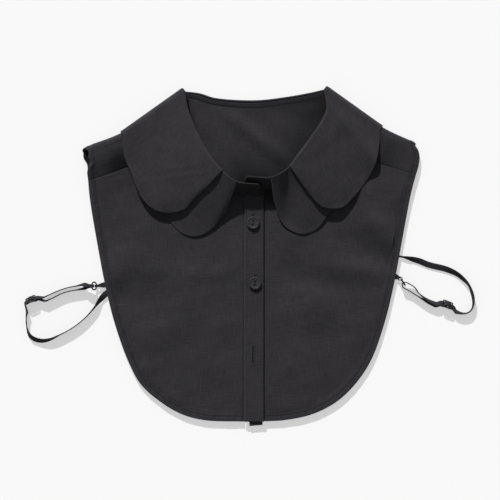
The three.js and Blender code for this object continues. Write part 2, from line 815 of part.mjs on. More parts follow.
// The straps. Rows give the way from the tab's anchor as shares of the strap's reach, out to
// the side and down, and the strap's twist in degrees, where 90 stands it on its edge.
const strapReach = 78;
const straps = {
  right: {
    side: right,
    tabDrop: 0.5,
    ringTilt: 54.5,
    slider: { out: 0.941, down: 0.205, heading: 25, twist: -55 },
    ring: { out: 0.14, down: 0.013 },
    run: [
      { out: -0.06, down: 0.085, twist: 0, lift: 1.2 },
      { out: -0.015, down: 0.11, twist: 0, lift: 1.2 },
      { out: 0.042, down: 0.165, twist: -30, lift: 0.7 },
      { out: 0.124, down: 0.273, twist: -80, lift: 0 },
      { out: 0.235, down: 0.401, twist: -90, lift: 0 },
      { out: 0.363, down: 0.512, twist: -90, lift: 0 },
      { out: 0.491, down: 0.594, twist: -90, lift: 0 },
      { out: 0.6, down: 0.649, twist: -85, lift: 0 },
      { out: 0.692, down: 0.694, twist: -70, lift: 0 },
      { out: 0.801, down: 0.717, twist: -50, lift: 0 },
      { out: 0.894, down: 0.699, twist: -45, lift: 0 },
      { out: 0.958, down: 0.655, twist: -55, lift: 0 },
      { out: 0.992, down: 0.585, twist: -75, lift: 0 },
      { out: 1.009, down: 0.492, twist: -88, lift: 0 },
      { out: 1.01, down: 0.41, twist: -82, lift: 0 },
      { out: 1, down: 0.35, twist: -68, lift: 0 },
    ],
    pair: [
      { out: 0.774, down: 0.182, twist: -80, spread: 2, width: 1, lift: 0 },
      { out: 0.685, down: 0.144, twist: -90, spread: 2.2, width: 1, lift: 0 },
      { out: 0.582, down: 0.095, twist: -90, spread: 1.9, width: 1, lift: 0 },
      { out: 0.472, down: 0.059, twist: -90, spread: 1.9, width: 1, lift: 0 },
      { out: 0.363, down: 0.038, twist: -88, spread: 2, width: 1, lift: 0 },
      { out: 0.271, down: 0.019, twist: -60, spread: 2.2, width: 0.85, lift: 1 },
      { out: 0.225, down: 0.015, twist: -20, spread: 2, width: 0.65, lift: 3 },
    ],
  },
  left: {
    side: left,
    tabDrop: 0.47,
    ringTilt: 90,
    slider: { out: 0.658, down: 0.371, heading: 21, twist: 40 },
    ring: { out: 0.096, down: 0.068 },
    run: [
      { out: -0.06, down: -0.31, twist: 0, lift: 1.2 },
      { out: 0.02, down: -0.298, twist: 0, lift: 1.2 },
      { out: 0.075, down: -0.285, twist: -6, lift: 1.2 },
      { out: 0.135, down: -0.265, twist: -45, lift: 0.3 },
      { out: 0.2, down: -0.247, twist: -45, lift: 0 },
      { out: 0.31, down: -0.2, twist: 0, lift: 0 },
      { out: 0.423, down: -0.154, twist: 0, lift: 0 },
      { out: 0.54, down: -0.125, twist: 10, lift: 0 },
      { out: 0.641, down: -0.1, twist: 25, lift: 0 },
      { out: 0.782, down: -0.038, twist: 45, lift: 0 },
      { out: 0.878, down: 0.038, twist: 60, lift: 0 },
      { out: 0.944, down: 0.115, twist: 78, lift: 0 },
      { out: 0.986, down: 0.226, twist: 70, lift: 0 },
      { out: 0.999, down: 0.305, twist: 75, lift: 0 },
      { out: 0.99, down: 0.39, twist: 86, lift: 0 },
      { out: 0.953, down: 0.445, twist: 90, lift: 0 },
      { out: 0.89, down: 0.47, twist: 85, lift: 0 },
      { out: 0.82, down: 0.463, twist: 68, lift: 0 },
      { out: 0.775, down: 0.448, twist: 52, lift: 0 },
    ],
    pair: [
      { out: 0.52, down: 0.357, twist: 50, spread: 0.9, width: 1, lift: 0 },
      { out: 0.431, down: 0.322, twist: 65, spread: 0.9, width: 1, lift: 0 },
      { out: 0.346, down: 0.269, twist: 80, spread: 1.1, width: 1, lift: 0 },
      { out: 0.276, down: 0.217, twist: 90, spread: 1.8, width: 0.9, lift: 0.3 },
      { out: 0.218, down: 0.162, twist: 90, spread: 3, width: 0.75, lift: 1 },
    ],
  },
};

// A closed ribbon through sections, each with its place, width direction, width and wall
function ribbonGeometry(sections) {
  const positions = [];
  sections.forEach(({ place, across, width, wall }, i) => {
    const before = sections[Math.max(i - 1, 0)].place;
    const after = sections[Math.min(i + 1, sections.length - 1)].place;
    const tangent = after.clone().sub(before).normalize();
    const thick = tangent.clone().cross(across).normalize();
    const flat = thick.clone().cross(tangent);
    for (const [a, b] of [[-1, -1], [1, -1], [1, 1], [-1, 1]]) {
      const corner = place.clone().addScaledVector(flat, (a * width) / 2);
      positions.push(...corner.addScaledVector(thick, (b * wall) / 2).toArray());
    }
  });
  const index = [0, 2, 1, 0, 3, 2];
  for (let i = 0; i + 1 < sections.length; i += 1) {
    for (let k = 0; k < 4; k += 1) {
      const a = 4 * i + k;
      const b = 4 * i + ((k + 1) % 4);
      index.push(a, b, b + 4, a, b + 4, a + 4);
    }
  }
  const last = 4 * (sections.length - 1);
  index.push(last, last + 1, last + 2, last, last + 2, last + 3);
  const geometry = new THREE.BufferGeometry();
  geometry.setAttribute('position', new THREE.Float32BufferAttribute(positions, 3));
  geometry.setIndex(index);
  return geometry;
}

// The width and face directions of a strap that heads one way with a twist
function strapFrame(heading, twist) {
  const a = radians(twist);
  const level = up.clone().cross(heading).normalize();
  const across = level.multiplyScalar(Math.cos(a)).addScaledVector(up, Math.sin(a));
  const face = heading.clone().cross(across).normalize();
  return { across, face };
}

// The height at which a twisted strap rests on the table
function restHeight(twist, width, halfStack) {
  const a = radians(twist);
  return (width / 2) * Math.abs(Math.sin(a)) + halfStack * Math.abs(Math.cos(a)) + 0.12;
}

// Places along rows, two steps a row, as objects with the columns that they name
function alongRows(rows, anchor, sign, columns) {
  const points = rows.map(({ out, down }) =>
    vec(anchor.x + sign * out * strapReach, anchor.y - down * strapReach),
  );
  const curve = curveThrough(points);
  return steps(2 * (rows.length - 1)).map((t) => {
    const row = t * (rows.length - 1);
    const values = { place: curve.getPoint(t), heading: curve.getTangent(t) };
    for (const column of columns) values[column] = columnAt(rows, column, row);
    return values;
  });
}

function strapSet({ side, tabDrop, ringTilt, slider, ring, run, pair }) {
  const level = frontLength * (1 - tabDrop);
  const nearest = steps(400)
    .map((t) => side.edge.getPointAt(t))
    .reduce((a, b) => (Math.abs(a.y - level) < Math.abs(b.y - level) ? a : b));
  const anchor = nearest.clone();
  const placeOf = ({ out, down }) =>
    vec(anchor.x + side.sign * out * strapReach, anchor.y - down * strapReach);

  // The ring leans on the tab, or stands on its edge where its tilt is a right angle
  const lean = radians(ringTilt);
  const ringCentre = placeOf(ring).setZ(ringHeight + ringRadius * Math.sin(lean));
  const outward = vec(side.sign, 0);
  if (ringTilt > 80) {
    outward.set(0.56 * side.sign, -0.83, 0);
    ringCentre.setZ(ringDiameter / 2 + 0.4);
  }
  const ringArm = outward.clone().multiplyScalar(ringRadius * Math.cos(lean));
  if (ringTilt > 80) ringArm.copy(outward).multiplyScalar(ringRadius);
  const far = ringCentre.clone().add(ringArm);
  const near = ringCentre.clone().sub(ringArm);
  if (ringTilt <= 80) {
    far.z += ringRadius * Math.sin(lean);
    near.z -= ringRadius * Math.sin(lean);
  }
  const ringGeometry = new THREE.TorusGeometry(ringRadius, ringWire / 2, 6, 20);
  const ringX = far.clone().sub(near).normalize();
  const ringY = ringTilt > 80 ? up.clone() : vec(0, 1);
  const ringZ = ringX.clone().cross(ringY);
  ringGeometry.applyMatrix4(new THREE.Matrix4().makeBasis(ringX, ringY, ringZ));
  ringGeometry.translate(ringCentre.x, ringCentre.y, ringCentre.z);

  // The slider, whose plane lies above the two layers that leave it for the ring
  const heading = vec(
    -side.sign * Math.cos(radians(slider.heading)),
    Math.sin(radians(slider.heading)),
  );
  const frame = strapFrame(heading, slider.twist);
  const layer = strapWall + clothGap;
  const stack = placeOf(slider).setZ(restHeight(slider.twist, strapWidth, layer / 2 + 0.5));
  const threadOffset = sliderWall / 2 + clothGap + strapWall / 2;
  const centre = stack.clone().addScaledVector(frame.face, threadOffset + layer / 2);
  const atSlider = (along, above) =>
    centre.clone().addScaledVector(heading, along).addScaledVector(frame.face, above);
  const halfLength = 1.5 * sliderBar + sliderSlot;
  const corner = sliderWidth / 2 - sliderBar / 2;
  const outline = new THREE.Shape([
    [-halfLength, -corner], [-corner, -sliderWidth / 2], [corner, -sliderWidth / 2],
    [halfLength, -corner], [halfLength, corner], [corner, sliderWidth / 2],
    [-corner, sliderWidth / 2], [-halfLength, corner],
  ].map(([x, y]) => new THREE.Vector2(x, y)));
  const plate = { depth: sliderWall, bevelEnabled: false };
  let solid = solidOf(new THREE.ExtrudeGeometry(outline, plate).translate(0, 0, -sliderWall / 2));
  const slotWidth = strapWidth + 2 * clothGap;
  for (const end of [-1, 1]) {
    const slot = new THREE.BoxGeometry(sliderSlot, slotWidth, 3 * sliderWall);
    slot.translate((end * (sliderBar + sliderSlot)) / 2, 0, 0);
    solid = solid.subtract(solidOf(slot));
  }
  const sliderGeometry = geometryOf(solid);
  sliderGeometry.applyMatrix4(
    new THREE.Matrix4().makeBasis(heading, frame.across, frame.face),
  );
  sliderGeometry.translate(centre.x, centre.y, centre.z);

  // The strap: the run from the back panel, through the slider, to the ring and back
  const section = (place, across, width = strapWidth) => ({
    place, across, width, wall: strapWall,
  });
  const runSections = alongRows(run, anchor, side.sign, ['twist', 'lift'])
    .map(({ place, heading: way, twist, lift }) => section(
      place.setZ(restHeight(twist, strapWidth, strapWall / 2) + lift),
      strapFrame(way, twist).across,
    ));
  const threading = [
    [-halfLength - 1.3, -threadOffset - clothGap],
    [-halfLength + sliderBar, -threadOffset],
    [-sliderBar / 2, threadOffset],
    [sliderBar / 2, threadOffset],
    [halfLength - sliderBar, -threadOffset],
    [halfLength + 0.8, -threadOffset],
  ].map(([along, above]) => section(atSlider(along, above), frame.across));
  const backEnd = [
    [halfLength + 0.8, -threadOffset - layer],
    [halfLength - sliderBar, -threadOffset - layer],
    [sliderBar / 2 + 0.4, -threadOffset],
    [-sliderBar / 2, -threadOffset],
  ].map(([along, above]) => section(atSlider(along, above), frame.across));
  const wires = alongRows(
    [...pair, {
      out: Math.abs(far.x - anchor.x) / strapReach,
      down: (anchor.y - far.y) / strapReach,
      twist: ringTilt > 80 ? 90 : 0,
      spread: ringTilt > 80 ? 3 : 1.9,
      width: 0.55,
      lift: 0,
    }],
    anchor, side.sign, ['twist', 'spread', 'width', 'lift'],
  ).map((row, i, all) => {
    const { across, face } = strapFrame(row.heading, row.twist);
    const width = strapWidth * row.width;
    const rest = restHeight(row.twist, width, row.spread + strapWall / 2) + row.lift;
    const end = smoothstep(i / (all.length - 1), 0.75, 1);
    row.place.setZ(lerp(rest, far.z, end));
    return { ...row, across, face, width };
  });
  const above = wires.map((row) => section(
    row.place.clone().addScaledVector(row.face, row.spread), row.across, row.width));
  const below = wires.map((row) => section(
    row.place.clone().addScaledVector(row.face, -row.spread), row.across, row.width));
  const last = wires[wires.length - 1];
  const bend = steps(6).slice(1, -1).map((t) => {
    const a = Math.PI * t;
    const place = last.place.clone()
      .addScaledVector(last.face, last.spread * Math.cos(a))
      .addScaledVector(last.heading, last.spread * Math.sin(a));
    return section(place, last.across, last.width);
  });
  const strapGeometry = ribbonGeometry([
    ...runSections, ...threading, ...above, ...bend, ...below.reverse(), ...backEnd,
  ]);

  // The tab: a short loop sewn between the layers of the hem, round the near side of the ring
  const tabHeight = panelWall + hemSpace / 2;
  const tabTwist = ringTilt > 80 ? 90 : 0;
  const tabEnd = near.clone();
  const tabStart = anchor.clone().addScaledVector(vec(-side.sign, 0), 4).setZ(tabHeight);
  const tabEdge = anchor.clone().addScaledVector(vec(side.sign, 0), 0.6).setZ(tabHeight);
  const tabWay = curveThrough([tabStart, tabEdge, tabEnd]);
  const tabRows = steps(8).map((t) => {
    const place = tabWay.getPointAt(t);
    const way = tabWay.getTangentAt(t).setZ(0).normalize();
    const turn = smoothstep(t, 0.45, 1);
    const { across, face } = strapFrame(way, tabTwist * turn);
    const spread = lerp(tabWall / 2 + 0.15, ringWire / 2 + clothGap + tabWall / 2 + 0.35, turn);
    const width = lerp(tabWidth, 2.6, smoothstep(t, 0.4, 0.9));
    return { place, across, face, spread, width, way };
  });
  const tabSection = (row, share) => ({
    place: row.place.clone().addScaledVector(row.face, share * row.spread),
    across: row.across,
    width: row.width,
    wall: tabWall,
  });
  const tabLast = tabRows[tabRows.length - 1];
  const tabBend = steps(6).slice(1, -1).map((t) => {
    const a = Math.PI * t;
    const row = tabSection(tabLast, Math.cos(a));
    row.place.addScaledVector(tabLast.way, tabLast.spread * Math.sin(a));
    return row;
  });
  const tabGeometry = ribbonGeometry([
    ...tabRows.map((row) => tabSection(row, 1)),
    ...tabBend,
    ...tabRows.map((row) => tabSection(row, -1)).reverse(),
  ]);
  return { strapGeometry, sliderGeometry, ringGeometry, tabGeometry };
}

// Colours and finishes
const cloth = { color: 0x343236, roughness: 0.92, metalness: 0 };
const elastic = { color: 0x242427, roughness: 0.8, metalness: 0 };
const plastic = { color: 0x1b1b1e, roughness: 0.25, metalness: 0 };
const enamel = { color: 0x141416, roughness: 0.3, metalness: 0.3 };

const garment = new THREE.Group();
function addPiece(name, geometry, finish) {
  const bare = geometry.clone();
  bare.deleteAttribute('normal');
  bare.deleteAttribute('uv');
  bare.computeVertexNormals();
  const mesh = new THREE.Mesh(bare, new THREE.MeshStandardMaterial(finish));
  mesh.name = name;
  garment.add(mesh);
}

const half = placketWidth / 2;
addPiece('back_panel', backPanel(), cloth);
addPiece('right_front', frontPanel(right, -half - seamGap), cloth);
addPiece('left_front', frontPanel(left, half + 2 + seamGap), cloth);
addPiece('right_placket', upperPlacket(), cloth);
addPiece(
  'left_placket',
  placket(left, 2 - half, half + 2, lowerPlacketHeight, lowerPlacketWall, placketTail),
  cloth,
);
addPiece('neck_band', neckBand(), cloth);
addPiece('upper_collar', upperCollar(), cloth);
addPiece('right_petal', petal(right), cloth);
addPiece('left_petal', petal(left), cloth);
for (const hole of buttonholes.filter(({ name }) => name)) {
  addPiece(hole.name, button(buttonholePlace(hole)), plastic);
}
for (const [name, strap] of Object.entries(straps)) {
  const set = strapSet(strap);
  addPiece(`${name}_strap`, set.strapGeometry, elastic);
  addPiece(`${name}_slider`, set.sliderGeometry, plastic);
  addPiece(`${name}_ring`, set.ringGeometry, enamel);
  addPiece(`${name}_ring_tab`, set.tabGeometry, elastic);
}

// The origin is the middle of the underside
const box = new THREE.Box3().setFromObject(garment);
garment.position.set(
  -(box.min.x + box.max.x) / 2,
  -(box.min.y + box.max.y) / 2,
  -box.min.z,
);

export default garment;
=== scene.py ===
# The looks of a detachable peter pan collar, laid flat and face up.
# Shapes are worked out in millimetres, with X from the centre front and Y up from the hem,
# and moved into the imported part's frame at the end. Sizes and tables are those of the
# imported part, or within a few millimetres of them.
# Left and right in the names are the wearer's, so the right side lies at negative X.
import math
from types import SimpleNamespace

import bpy
import numpy as np
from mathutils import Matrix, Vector


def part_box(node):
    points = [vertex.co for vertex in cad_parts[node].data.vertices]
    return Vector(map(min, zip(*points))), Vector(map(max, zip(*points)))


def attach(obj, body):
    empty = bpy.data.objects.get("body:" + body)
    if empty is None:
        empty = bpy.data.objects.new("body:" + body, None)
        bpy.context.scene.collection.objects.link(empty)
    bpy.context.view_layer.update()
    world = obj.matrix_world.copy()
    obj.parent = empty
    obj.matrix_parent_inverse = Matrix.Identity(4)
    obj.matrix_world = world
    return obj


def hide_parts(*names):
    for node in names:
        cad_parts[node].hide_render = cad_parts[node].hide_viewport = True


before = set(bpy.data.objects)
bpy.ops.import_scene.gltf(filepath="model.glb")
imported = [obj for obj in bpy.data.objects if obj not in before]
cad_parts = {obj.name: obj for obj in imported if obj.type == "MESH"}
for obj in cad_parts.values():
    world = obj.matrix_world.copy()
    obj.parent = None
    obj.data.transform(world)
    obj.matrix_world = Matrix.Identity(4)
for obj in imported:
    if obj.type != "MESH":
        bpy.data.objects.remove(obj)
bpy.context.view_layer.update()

MM = 0.001

# Panels
SHOULDER_SPAN = 336
FRONT_LENGTH = 270
NECK_RISE = 62
SHOULDER_SLOPE = 35.5
SEAM_DROP = 30
UNDERARM_DROP = 105
# Neck and collar
NECK_WIDTH = 145
NECK_DEPTH = 96
BACK_NECK_DROP = 15
BAND_WIDTH = 7
STAND_SPREAD = 12
STAND_TOP = 25
COLLAR_FALL = 77
BACK_FALL = 75
PETAL_FALL = 75
LOBE_LIFT = 8.7
PETAL_LIFT = 2.8
ROLL_RADIUS = 1.3
# Front opening
PLACKET_WIDTH = 20
PLACKET_TAIL = 4
BUTTONHOLE_LENGTH = 17
SLIT_WIDTH = 1.0
BUTTON_DIAMETER = 13
BUTTON_HEIGHT = 2.6
# Cloth walls, and the heights of the layers' middle faces
PANEL_WALL = 1.0
COLLAR_WALL = 1.2
UPPER_PLACKET_WALL = 1.4
LOWER_PLACKET_WALL = 1.2
CLOTH_GAP = 0.3
SEAM_GAP = 0.8
SEAM_BITE = 0.5
HEM_SPACE = 2.1
FRONT_HEIGHT = 5.0
NECK_SEAM_HEIGHT = 6.5
NECK_FOLD = 3.05
CORNER_HEIGHT = FRONT_LENGTH + NECK_RISE
BACK_ON_TABLE = PANEL_WALL / 2
BACK_OVER_COLLAR = COLLAR_WALL + CLOTH_GAP + PANEL_WALL / 2
FRONT_HEM = PANEL_WALL + HEM_SPACE + PANEL_WALL / 2
LAYER_STEP = PANEL_WALL / 2 + CLOTH_GAP + COLLAR_WALL / 2
LOWER_PLACKET_HEIGHT = FRONT_HEM + 0.2
UPPER_PLACKET_HEIGHT = (
    LOWER_PLACKET_HEIGHT + LOWER_PLACKET_WALL / 2 + 2 * CLOTH_GAP + UPPER_PLACKET_WALL / 2
)
# Sewing
HEM_WIDTH = 6.8
HEM_STITCH = 5.2
STITCH_LENGTH = 2.1
STITCH_PITCH = 2.7
THREAD_RADIUS = 0.17
# The rounding of a cloth's rim as a share of its wall
RIM_ROUNDING = 0.42
FAR = 99.0
# Steps of the grids, and the angles between the ends of a fold over a shoulder
WRAP_STEPS = 14
BAND_STEPS = 18
LOBE_STEPS = 110
FALL_STEPS = 120
BUTTON_STEPS = 96
FOLD_ANGLES = [90 - 180 * k / WRAP_STEPS for k in range(1, WRAP_STEPS)]

UP = np.array([0.0, 0.0, 1.0])

# corner and neck: across as a share of half the neck width, down of the neck depth, and
#   in neck the rise of the stand
# tip and outline: across as a share of half the shoulder span, down of the front length
# lobe and petal: along the roll, fall as a share, slant in degrees, lift of the edge as a share
# seam_valley, hollow and the folds: depths and radii in millimetres; the shades: from 0 to 1
# seam_along, lobe_from, petal_from and petal_to: places along the roll
# flap_crown, tip_round, petal_start and petal_dip: shares that shape a curve
RIGHT = SimpleNamespace(
    name="right",
    sign=-1,
    corner=(0.99, 0),
    shoulder_fall=0.985,
    collar_end_fold=3.2,
    seam_valley=2.6,
    flap_crown=2.6,
    flap_shade=0.5,
    seam_shade=0.3,
    hollow=6,
    tip_round=0.15,
    tip=(1.016, 0.009),
    tip_fold=4.5,
    seam_along=0.61,
    seam_start=NECK_SEAM_HEIGHT,
    lobe_from=0.317,
    pocket_shade=0.2,
    petal_from=0.18,
    petal_start=0.95,
    petal_dip=0.3,
    petal_to=0.78,
    neck=[
        (-0.1, 1, 0.92),
        (0.235, 0.969, 1.03),
        (0.44, 0.854, 0.95),
        (0.6, 0.716, 0.8),
        (0.775, 0.49, 0.5),
        (0.916, 0.208, 0.15),
    ],
    outline=[
        (1.014, 0.03),
        (0.994, 0.052),
        (0.989, 0.085),
        (0.976, 0.178),
        (0.929, 0.356),
        (0.881, 0.511),
        (0.827, 0.644),
        (0.75, 0.778),
        (0.673, 0.867),
        (0.554, 0.933),
        (0.429, 0.978),
        (0.292, 1),
        (0.06, 1.005),
    ],
    lobe=[
        (0, 0.41, 46.3, 1.3),
        (0.12, 0.69, 57, 1.1),
        (0.25, 0.9, 58.5, 0.9),
        (0.4, 1.065, 55.5, 0.8),
        (0.55, 1.117, 51.1, 0.65),
        (0.7, 1.06, 43.8, 0.5),
        (0.85, 1.045, 39.4, 0.4),
        (1, 0.985, SHOULDER_SLOPE, 0.5),
    ],
    petal=[
        (0, 0.427, 69.9, 1.2),
        (0.12, 0.705, 73, 0.6),
        (0.25, 0.936, 70.9, 0.42),
        (0.38, 1.044, 65.9, 0.45),
        (0.5, 1.044, 61, 0.6),
        (0.65, 1.01, 56.3, 0.9),
        (0.8, 0.957, 51.2, 1),
        (1, 0.867, 47.5, 1),
    ],
)
LEFT = SimpleNamespace(
    name="left",
    sign=1,
    corner=(1.007, -0.02),
    shoulder_fall=0.892,
    collar_end_fold=3,
    seam_valley=-0.1,
    flap_crown=2,
    flap_shade=0.28,
    seam_shade=0.14,
    hollow=0,
    tip_round=0.4,
    tip=(0.957, -0.0155),
    tip_fold=2.5,
    seam_along=0.6,
    seam_start=NECK_SEAM_HEIGHT - 1.7,
    lobe_from=0.345,
    pocket_shade=0.65,
    petal_from=0.19,
    petal_start=1.05,
    petal_dip=1.2,
    petal_to=0.69,
    neck=[
        (-0.124, 0.917, 1.13),
        (0.262, 0.922, 1.2),
        (0.492, 0.81, 0.95),
        (0.563, 0.74, 0.88),
        (0.757, 0.542, 0.58),
        (0.932, 0.344, 0.3),
        (1.003, 0.208, 0.14),
    ],
    outline=[
        (0.975, 0.002),
        (0.981, 0.025),
        (0.975, 0.06),
        (0.935, 0.156),
        (0.881, 0.333),
        (0.827, 0.511),
        (0.774, 0.644),
        (0.696, 0.778),
        (0.601, 0.867),
        (0.488, 0.933),
        (0.345, 0.978),
        (0.179, 1),
        (0.065, 1.004),
    ],
    lobe=[
        (0, 0.425, 54.7, 1.3),
        (0.12, 0.656, 64.2, 1.1),
        (0.25, 0.844, 66.4, 0.95),
        (0.4, 0.99, 64.8, 0.8),
        (0.55, 1.01, 61.6, 0.55),
        (0.7, 0.996, 55.9, 0.22),
        (0.85, 0.965, 47.7, 1.0),
        (1, 0.892, SHOULDER_SLOPE, 0.6),
    ],
    petal=[
        (0, 0.315, 84, 3.1),
        (0.12, 0.627, 87.5, 1.3),
        (0.25, 0.827, 84.7, 0.95),
        (0.38, 0.961, 79.9, 1.05),
        (0.5, 0.999, 74, 1.05),
        (0.65, 0.92, 67.3, 1),
        (0.8, 0.893, 61.8, 1),
        (1, 0.84, 57.3, 1),
    ],
)
# across as a signed share of half the neck width, drop as a share of the back neck drop
BACK_NECK = [(-0.745, 0.4), (-0.54, 0.7), (0.014, 0.86), (0.43, 0.65), (0.77, 0.36)]
# up as a share of the front length, across of the placket width, whether it is buttoned
BUTTONHOLES = [(0.73, -0.05, True), (0.507, 0.05, True), (0.241, -0.05, False)]
# Soft folds: across as a share of half the shoulder span, up of the front length,
# half length and half width of the front length, turn in degrees, height in millimetres
FRONT_FOLDS = [
    (0.62, 0.56, 0.16, 0.03, -8, 1.5),
    (0.45, 0.5, 0.2, 0.035, -4, -1.4),
    (0.59, 0.65, 0.14, 0.045, -33, -2.3),
    (0.75, 0.715, 0.13, 0.045, -52, 5),
    (0.8, 0.585, 0.06, 0.03, -50, -1.6),
    (0.66, 0.845, 0.07, 0.04, -40, 2),
    (-0.81, 0.575, 0.1, 0.07, 60, 2.2),
    (-0.23, 0.54, 0.11, 0.03, 0, 1.3),
    (-0.45, 0.42, 0.2, 0.06, 65, 1.3),
    (-0.14, 0.36, 0.05, 0.015, -30, 0.5),
]
BACK_FOLDS = [(0.0, 1.055, 0.2, 0.028, -41, 3.2), (0.3, 1.19, 0.13, 0.042, -28, 4.2)]
LOBE_FOLDS = [
    (-0.44, 0.9, 0.11, 0.009, 8, 0.4),
    (-0.38, 0.94, 0.09, 0.009, 10, 0.3),
    (0.42, 1.07, 0.14, 0.04, 42, 2.6),
]
FLAP_FOLDS = [(-0.85, 1.045, 0.05, 0.009, 14, 1.1), (-0.82, 1.02, 0.05, 0.012, 20, -0.8)]


def lerp(a, b, t):
    """The value a share t of the way from a to b."""
    return a + (b - a) * t


def smoothstep(x, low, high):
    t = np.clip((np.asarray(x, float) - low) / (high - low), 0, 1)
    return t * t * (3 - 2 * t)


def bell(x, middle, width):
    """A smooth bump of unit height about a middle."""
    return np.exp(-(((x - middle) / width) ** 2))


def steps(count):
    return np.linspace(0, 1, count + 1)


def unit(v):
    return v / np.maximum(np.linalg.norm(v, axis=-1, keepdims=True), 1e-9)


def run_of(points):
    """The length of a line of points up to each of them."""
    return np.concatenate([[0], np.cumsum(np.linalg.norm(np.diff(points, axis=0), axis=1))])


def row_runs(points):
    """The length of each row of a grid up to each of its points."""
    return np.cumsum(np.linalg.norm(np.diff(points, axis=1, prepend=points[:, :1]), axis=2), 1)


def read_line(place, keys, points):
    """Points between those of a line, whose places are its keys."""
    return np.stack([np.interp(place, keys, points[:, k]) for k in range(3)], -1)


def hermite(start, end, m0, m1, t):
    """A smooth step from start to end with the slopes m0 and m1."""
    rise = end - start
    return start + m0 * t + (3 * rise - 2 * m0 - m1) * t**2 + (m0 + m1 - 2 * rise) * t**3


def column(rows, number, place):
    """The smooth value of a table's column at places in its first column."""
    places = np.array([row[0] for row in rows], float)
    values = np.array([row[number] for row in rows], float)
    slopes = np.empty(len(rows))
    slopes[1:-1] = (values[2:] - values[:-2]) / (places[2:] - places[:-2])
    slopes[0] = (values[1] - values[0]) / (places[1] - places[0])
    slopes[-1] = (values[-1] - values[-2]) / (places[-1] - places[-2])
    place = np.asarray(place, float)
    i = np.clip(np.searchsorted(places, place, side="left") - 1, 0, len(rows) - 2)
    step = places[i + 1] - places[i]
    t = (place - places[i]) / step
    return hermite(values[i], values[i + 1], slopes[i] * step, slopes[i + 1] * step, t)


class Curve:
    """A smooth curve through points, read by its length or by its rows, from 0 to 1."""

    def __init__(self, points, count=1500):
        p = np.array(points, float)
        p = np.vstack([2 * p[0] - p[1], p, 2 * p[-1] - p[-2]])
        last = len(p) - 4
        place = np.linspace(0, last + 1, count)
        i = np.clip(place.astype(int), 0, last)
        t = (place - i)[:, None]
        knots = [p[i + k] for k in range(4)]
        gaps = [
            np.maximum(np.linalg.norm(b - a, axis=1), 1e-6)[:, None] ** 0.5
            for a, b in zip(knots, knots[1:])
        ]
        a, b, c, d = knots
        g, h, k = gaps
        m0 = ((b - a) / g - (c - a) / (g + h) + (c - b) / h) * h
        m1 = ((c - b) / h - (d - b) / (h + k) + (d - c) / k) * h
        self.points = hermite(b, c, m0, m1, t)
        self.rows = np.linspace(0, 1, count)
        self.run = run_of(self.points)
        self.length = self.run[-1]

    def at(self, share):
        return read_line(np.asarray(share, float) * self.length, self.run, self.points)

    def by_row(self, place):
        return read_line(place, self.rows, self.points)

    def tangent(self, share, step=0.002):
        share = np.asarray(share, float)
        ahead = self.at(np.minimum(share + step, 1))
        behind = self.at(np.maximum(share - step, 0))
        return unit(ahead - behind)


def neck_place(side, across, down, height=0.0):
    return (side.sign * across * NECK_WIDTH / 2, CORNER_HEIGHT - NECK_DEPTH * down, height)


def panel_place(side, across, down):
    return (side.sign * across * SHOULDER_SPAN / 2, FRONT_LENGTH * (1 - down), 0)


def make_shoulder(side):
    slope = math.radians(SHOULDER_SLOPE)
    side.out = np.array([side.sign * math.cos(slope), -math.sin(slope), 0])
    side.inward = np.array([-side.sign * math.sin(slope), -math.cos(slope), 0])
    corner = np.array(neck_place(side, *side.corner))
    side.axis_start = corner + side.inward * (NECK_FOLD + LAYER_STEP + COLLAR_WALL / 2)
    side.fall = side.shoulder_fall * COLLAR_FALL
    side.fold_start = BAND_WIDTH + SEAM_GAP
    places = [axis(side, w) for w in (side.fold_start, side.fall / 2, side.fall)]
    side.panel_axis = Curve(places + [panel_place(side, *side.tip)])


def axis(side, w):
    return side.axis_start + np.multiply.outer(np.asarray(w, float), side.out)


def panel_radius(side, w):
    w = np.asarray(w, float)
    end = side.fold_start + side.panel_axis.length
    inner = lerp(NECK_FOLD, side.collar_end_fold, w / side.fall)
    outer = lerp(side.collar_end_fold, side.tip_fold, (w - side.fall) / (end - side.fall))
    return np.where(w < side.fall, inner, outer)


def make_roll(side):
    top = BACK_OVER_COLLAR + 2 * NECK_FOLD + LAYER_STEP
    points = [
        neck_place(side, across, down, lerp(top, STAND_TOP, rise))
        for across, down, rise in side.neck
    ]
    start = side.axis_start.copy()
    start[2] = top
    side.roll = Curve(points + [start])


def make_outline(side):
    points = [panel_place(side, *row) for row in side.outline]
    side.edge = Curve([tuple(side.panel_axis.by_row(1))] + points)


for each in (RIGHT, LEFT):
    make_shoulder(each)
    make_roll(each)
    make_outline(each)
BACK_ROLL = Curve(
    [tuple(RIGHT.axis_start)]
    + [(a * NECK_WIDTH / 2, CORNER_HEIGHT - BACK_NECK_DROP * d, 0) for a, d in BACK_NECK]
    + [tuple(LEFT.axis_start)]
)
HEM_Y = float(RIGHT.edge.by_row(1)[1])


def outward(side, s):
    """The level direction away from the neck at places along the roll."""
    tangent = side.roll.tangent(s)
    tangent[..., 2] = 0
    tangent = unit(tangent)
    normal = np.stack(
        [side.sign * tangent[..., 1], -side.sign * tangent[..., 0], np.zeros(tangent.shape[:-1])],
        -1,
    )
    w = smoothstep(s, 0.8, 1)[..., None]
    return unit(lerp(normal, side.out, w))


def backward(t):
    """The level direction from the back neck's roll into the cloth, right corner to left."""
    angle = np.radians(lerp(-180 + SHOULDER_SLOPE, -SHOULDER_SLOPE, np.asarray(t, float)))
    return np.stack([np.cos(angle), np.sin(angle), np.zeros(angle.shape)], -1)


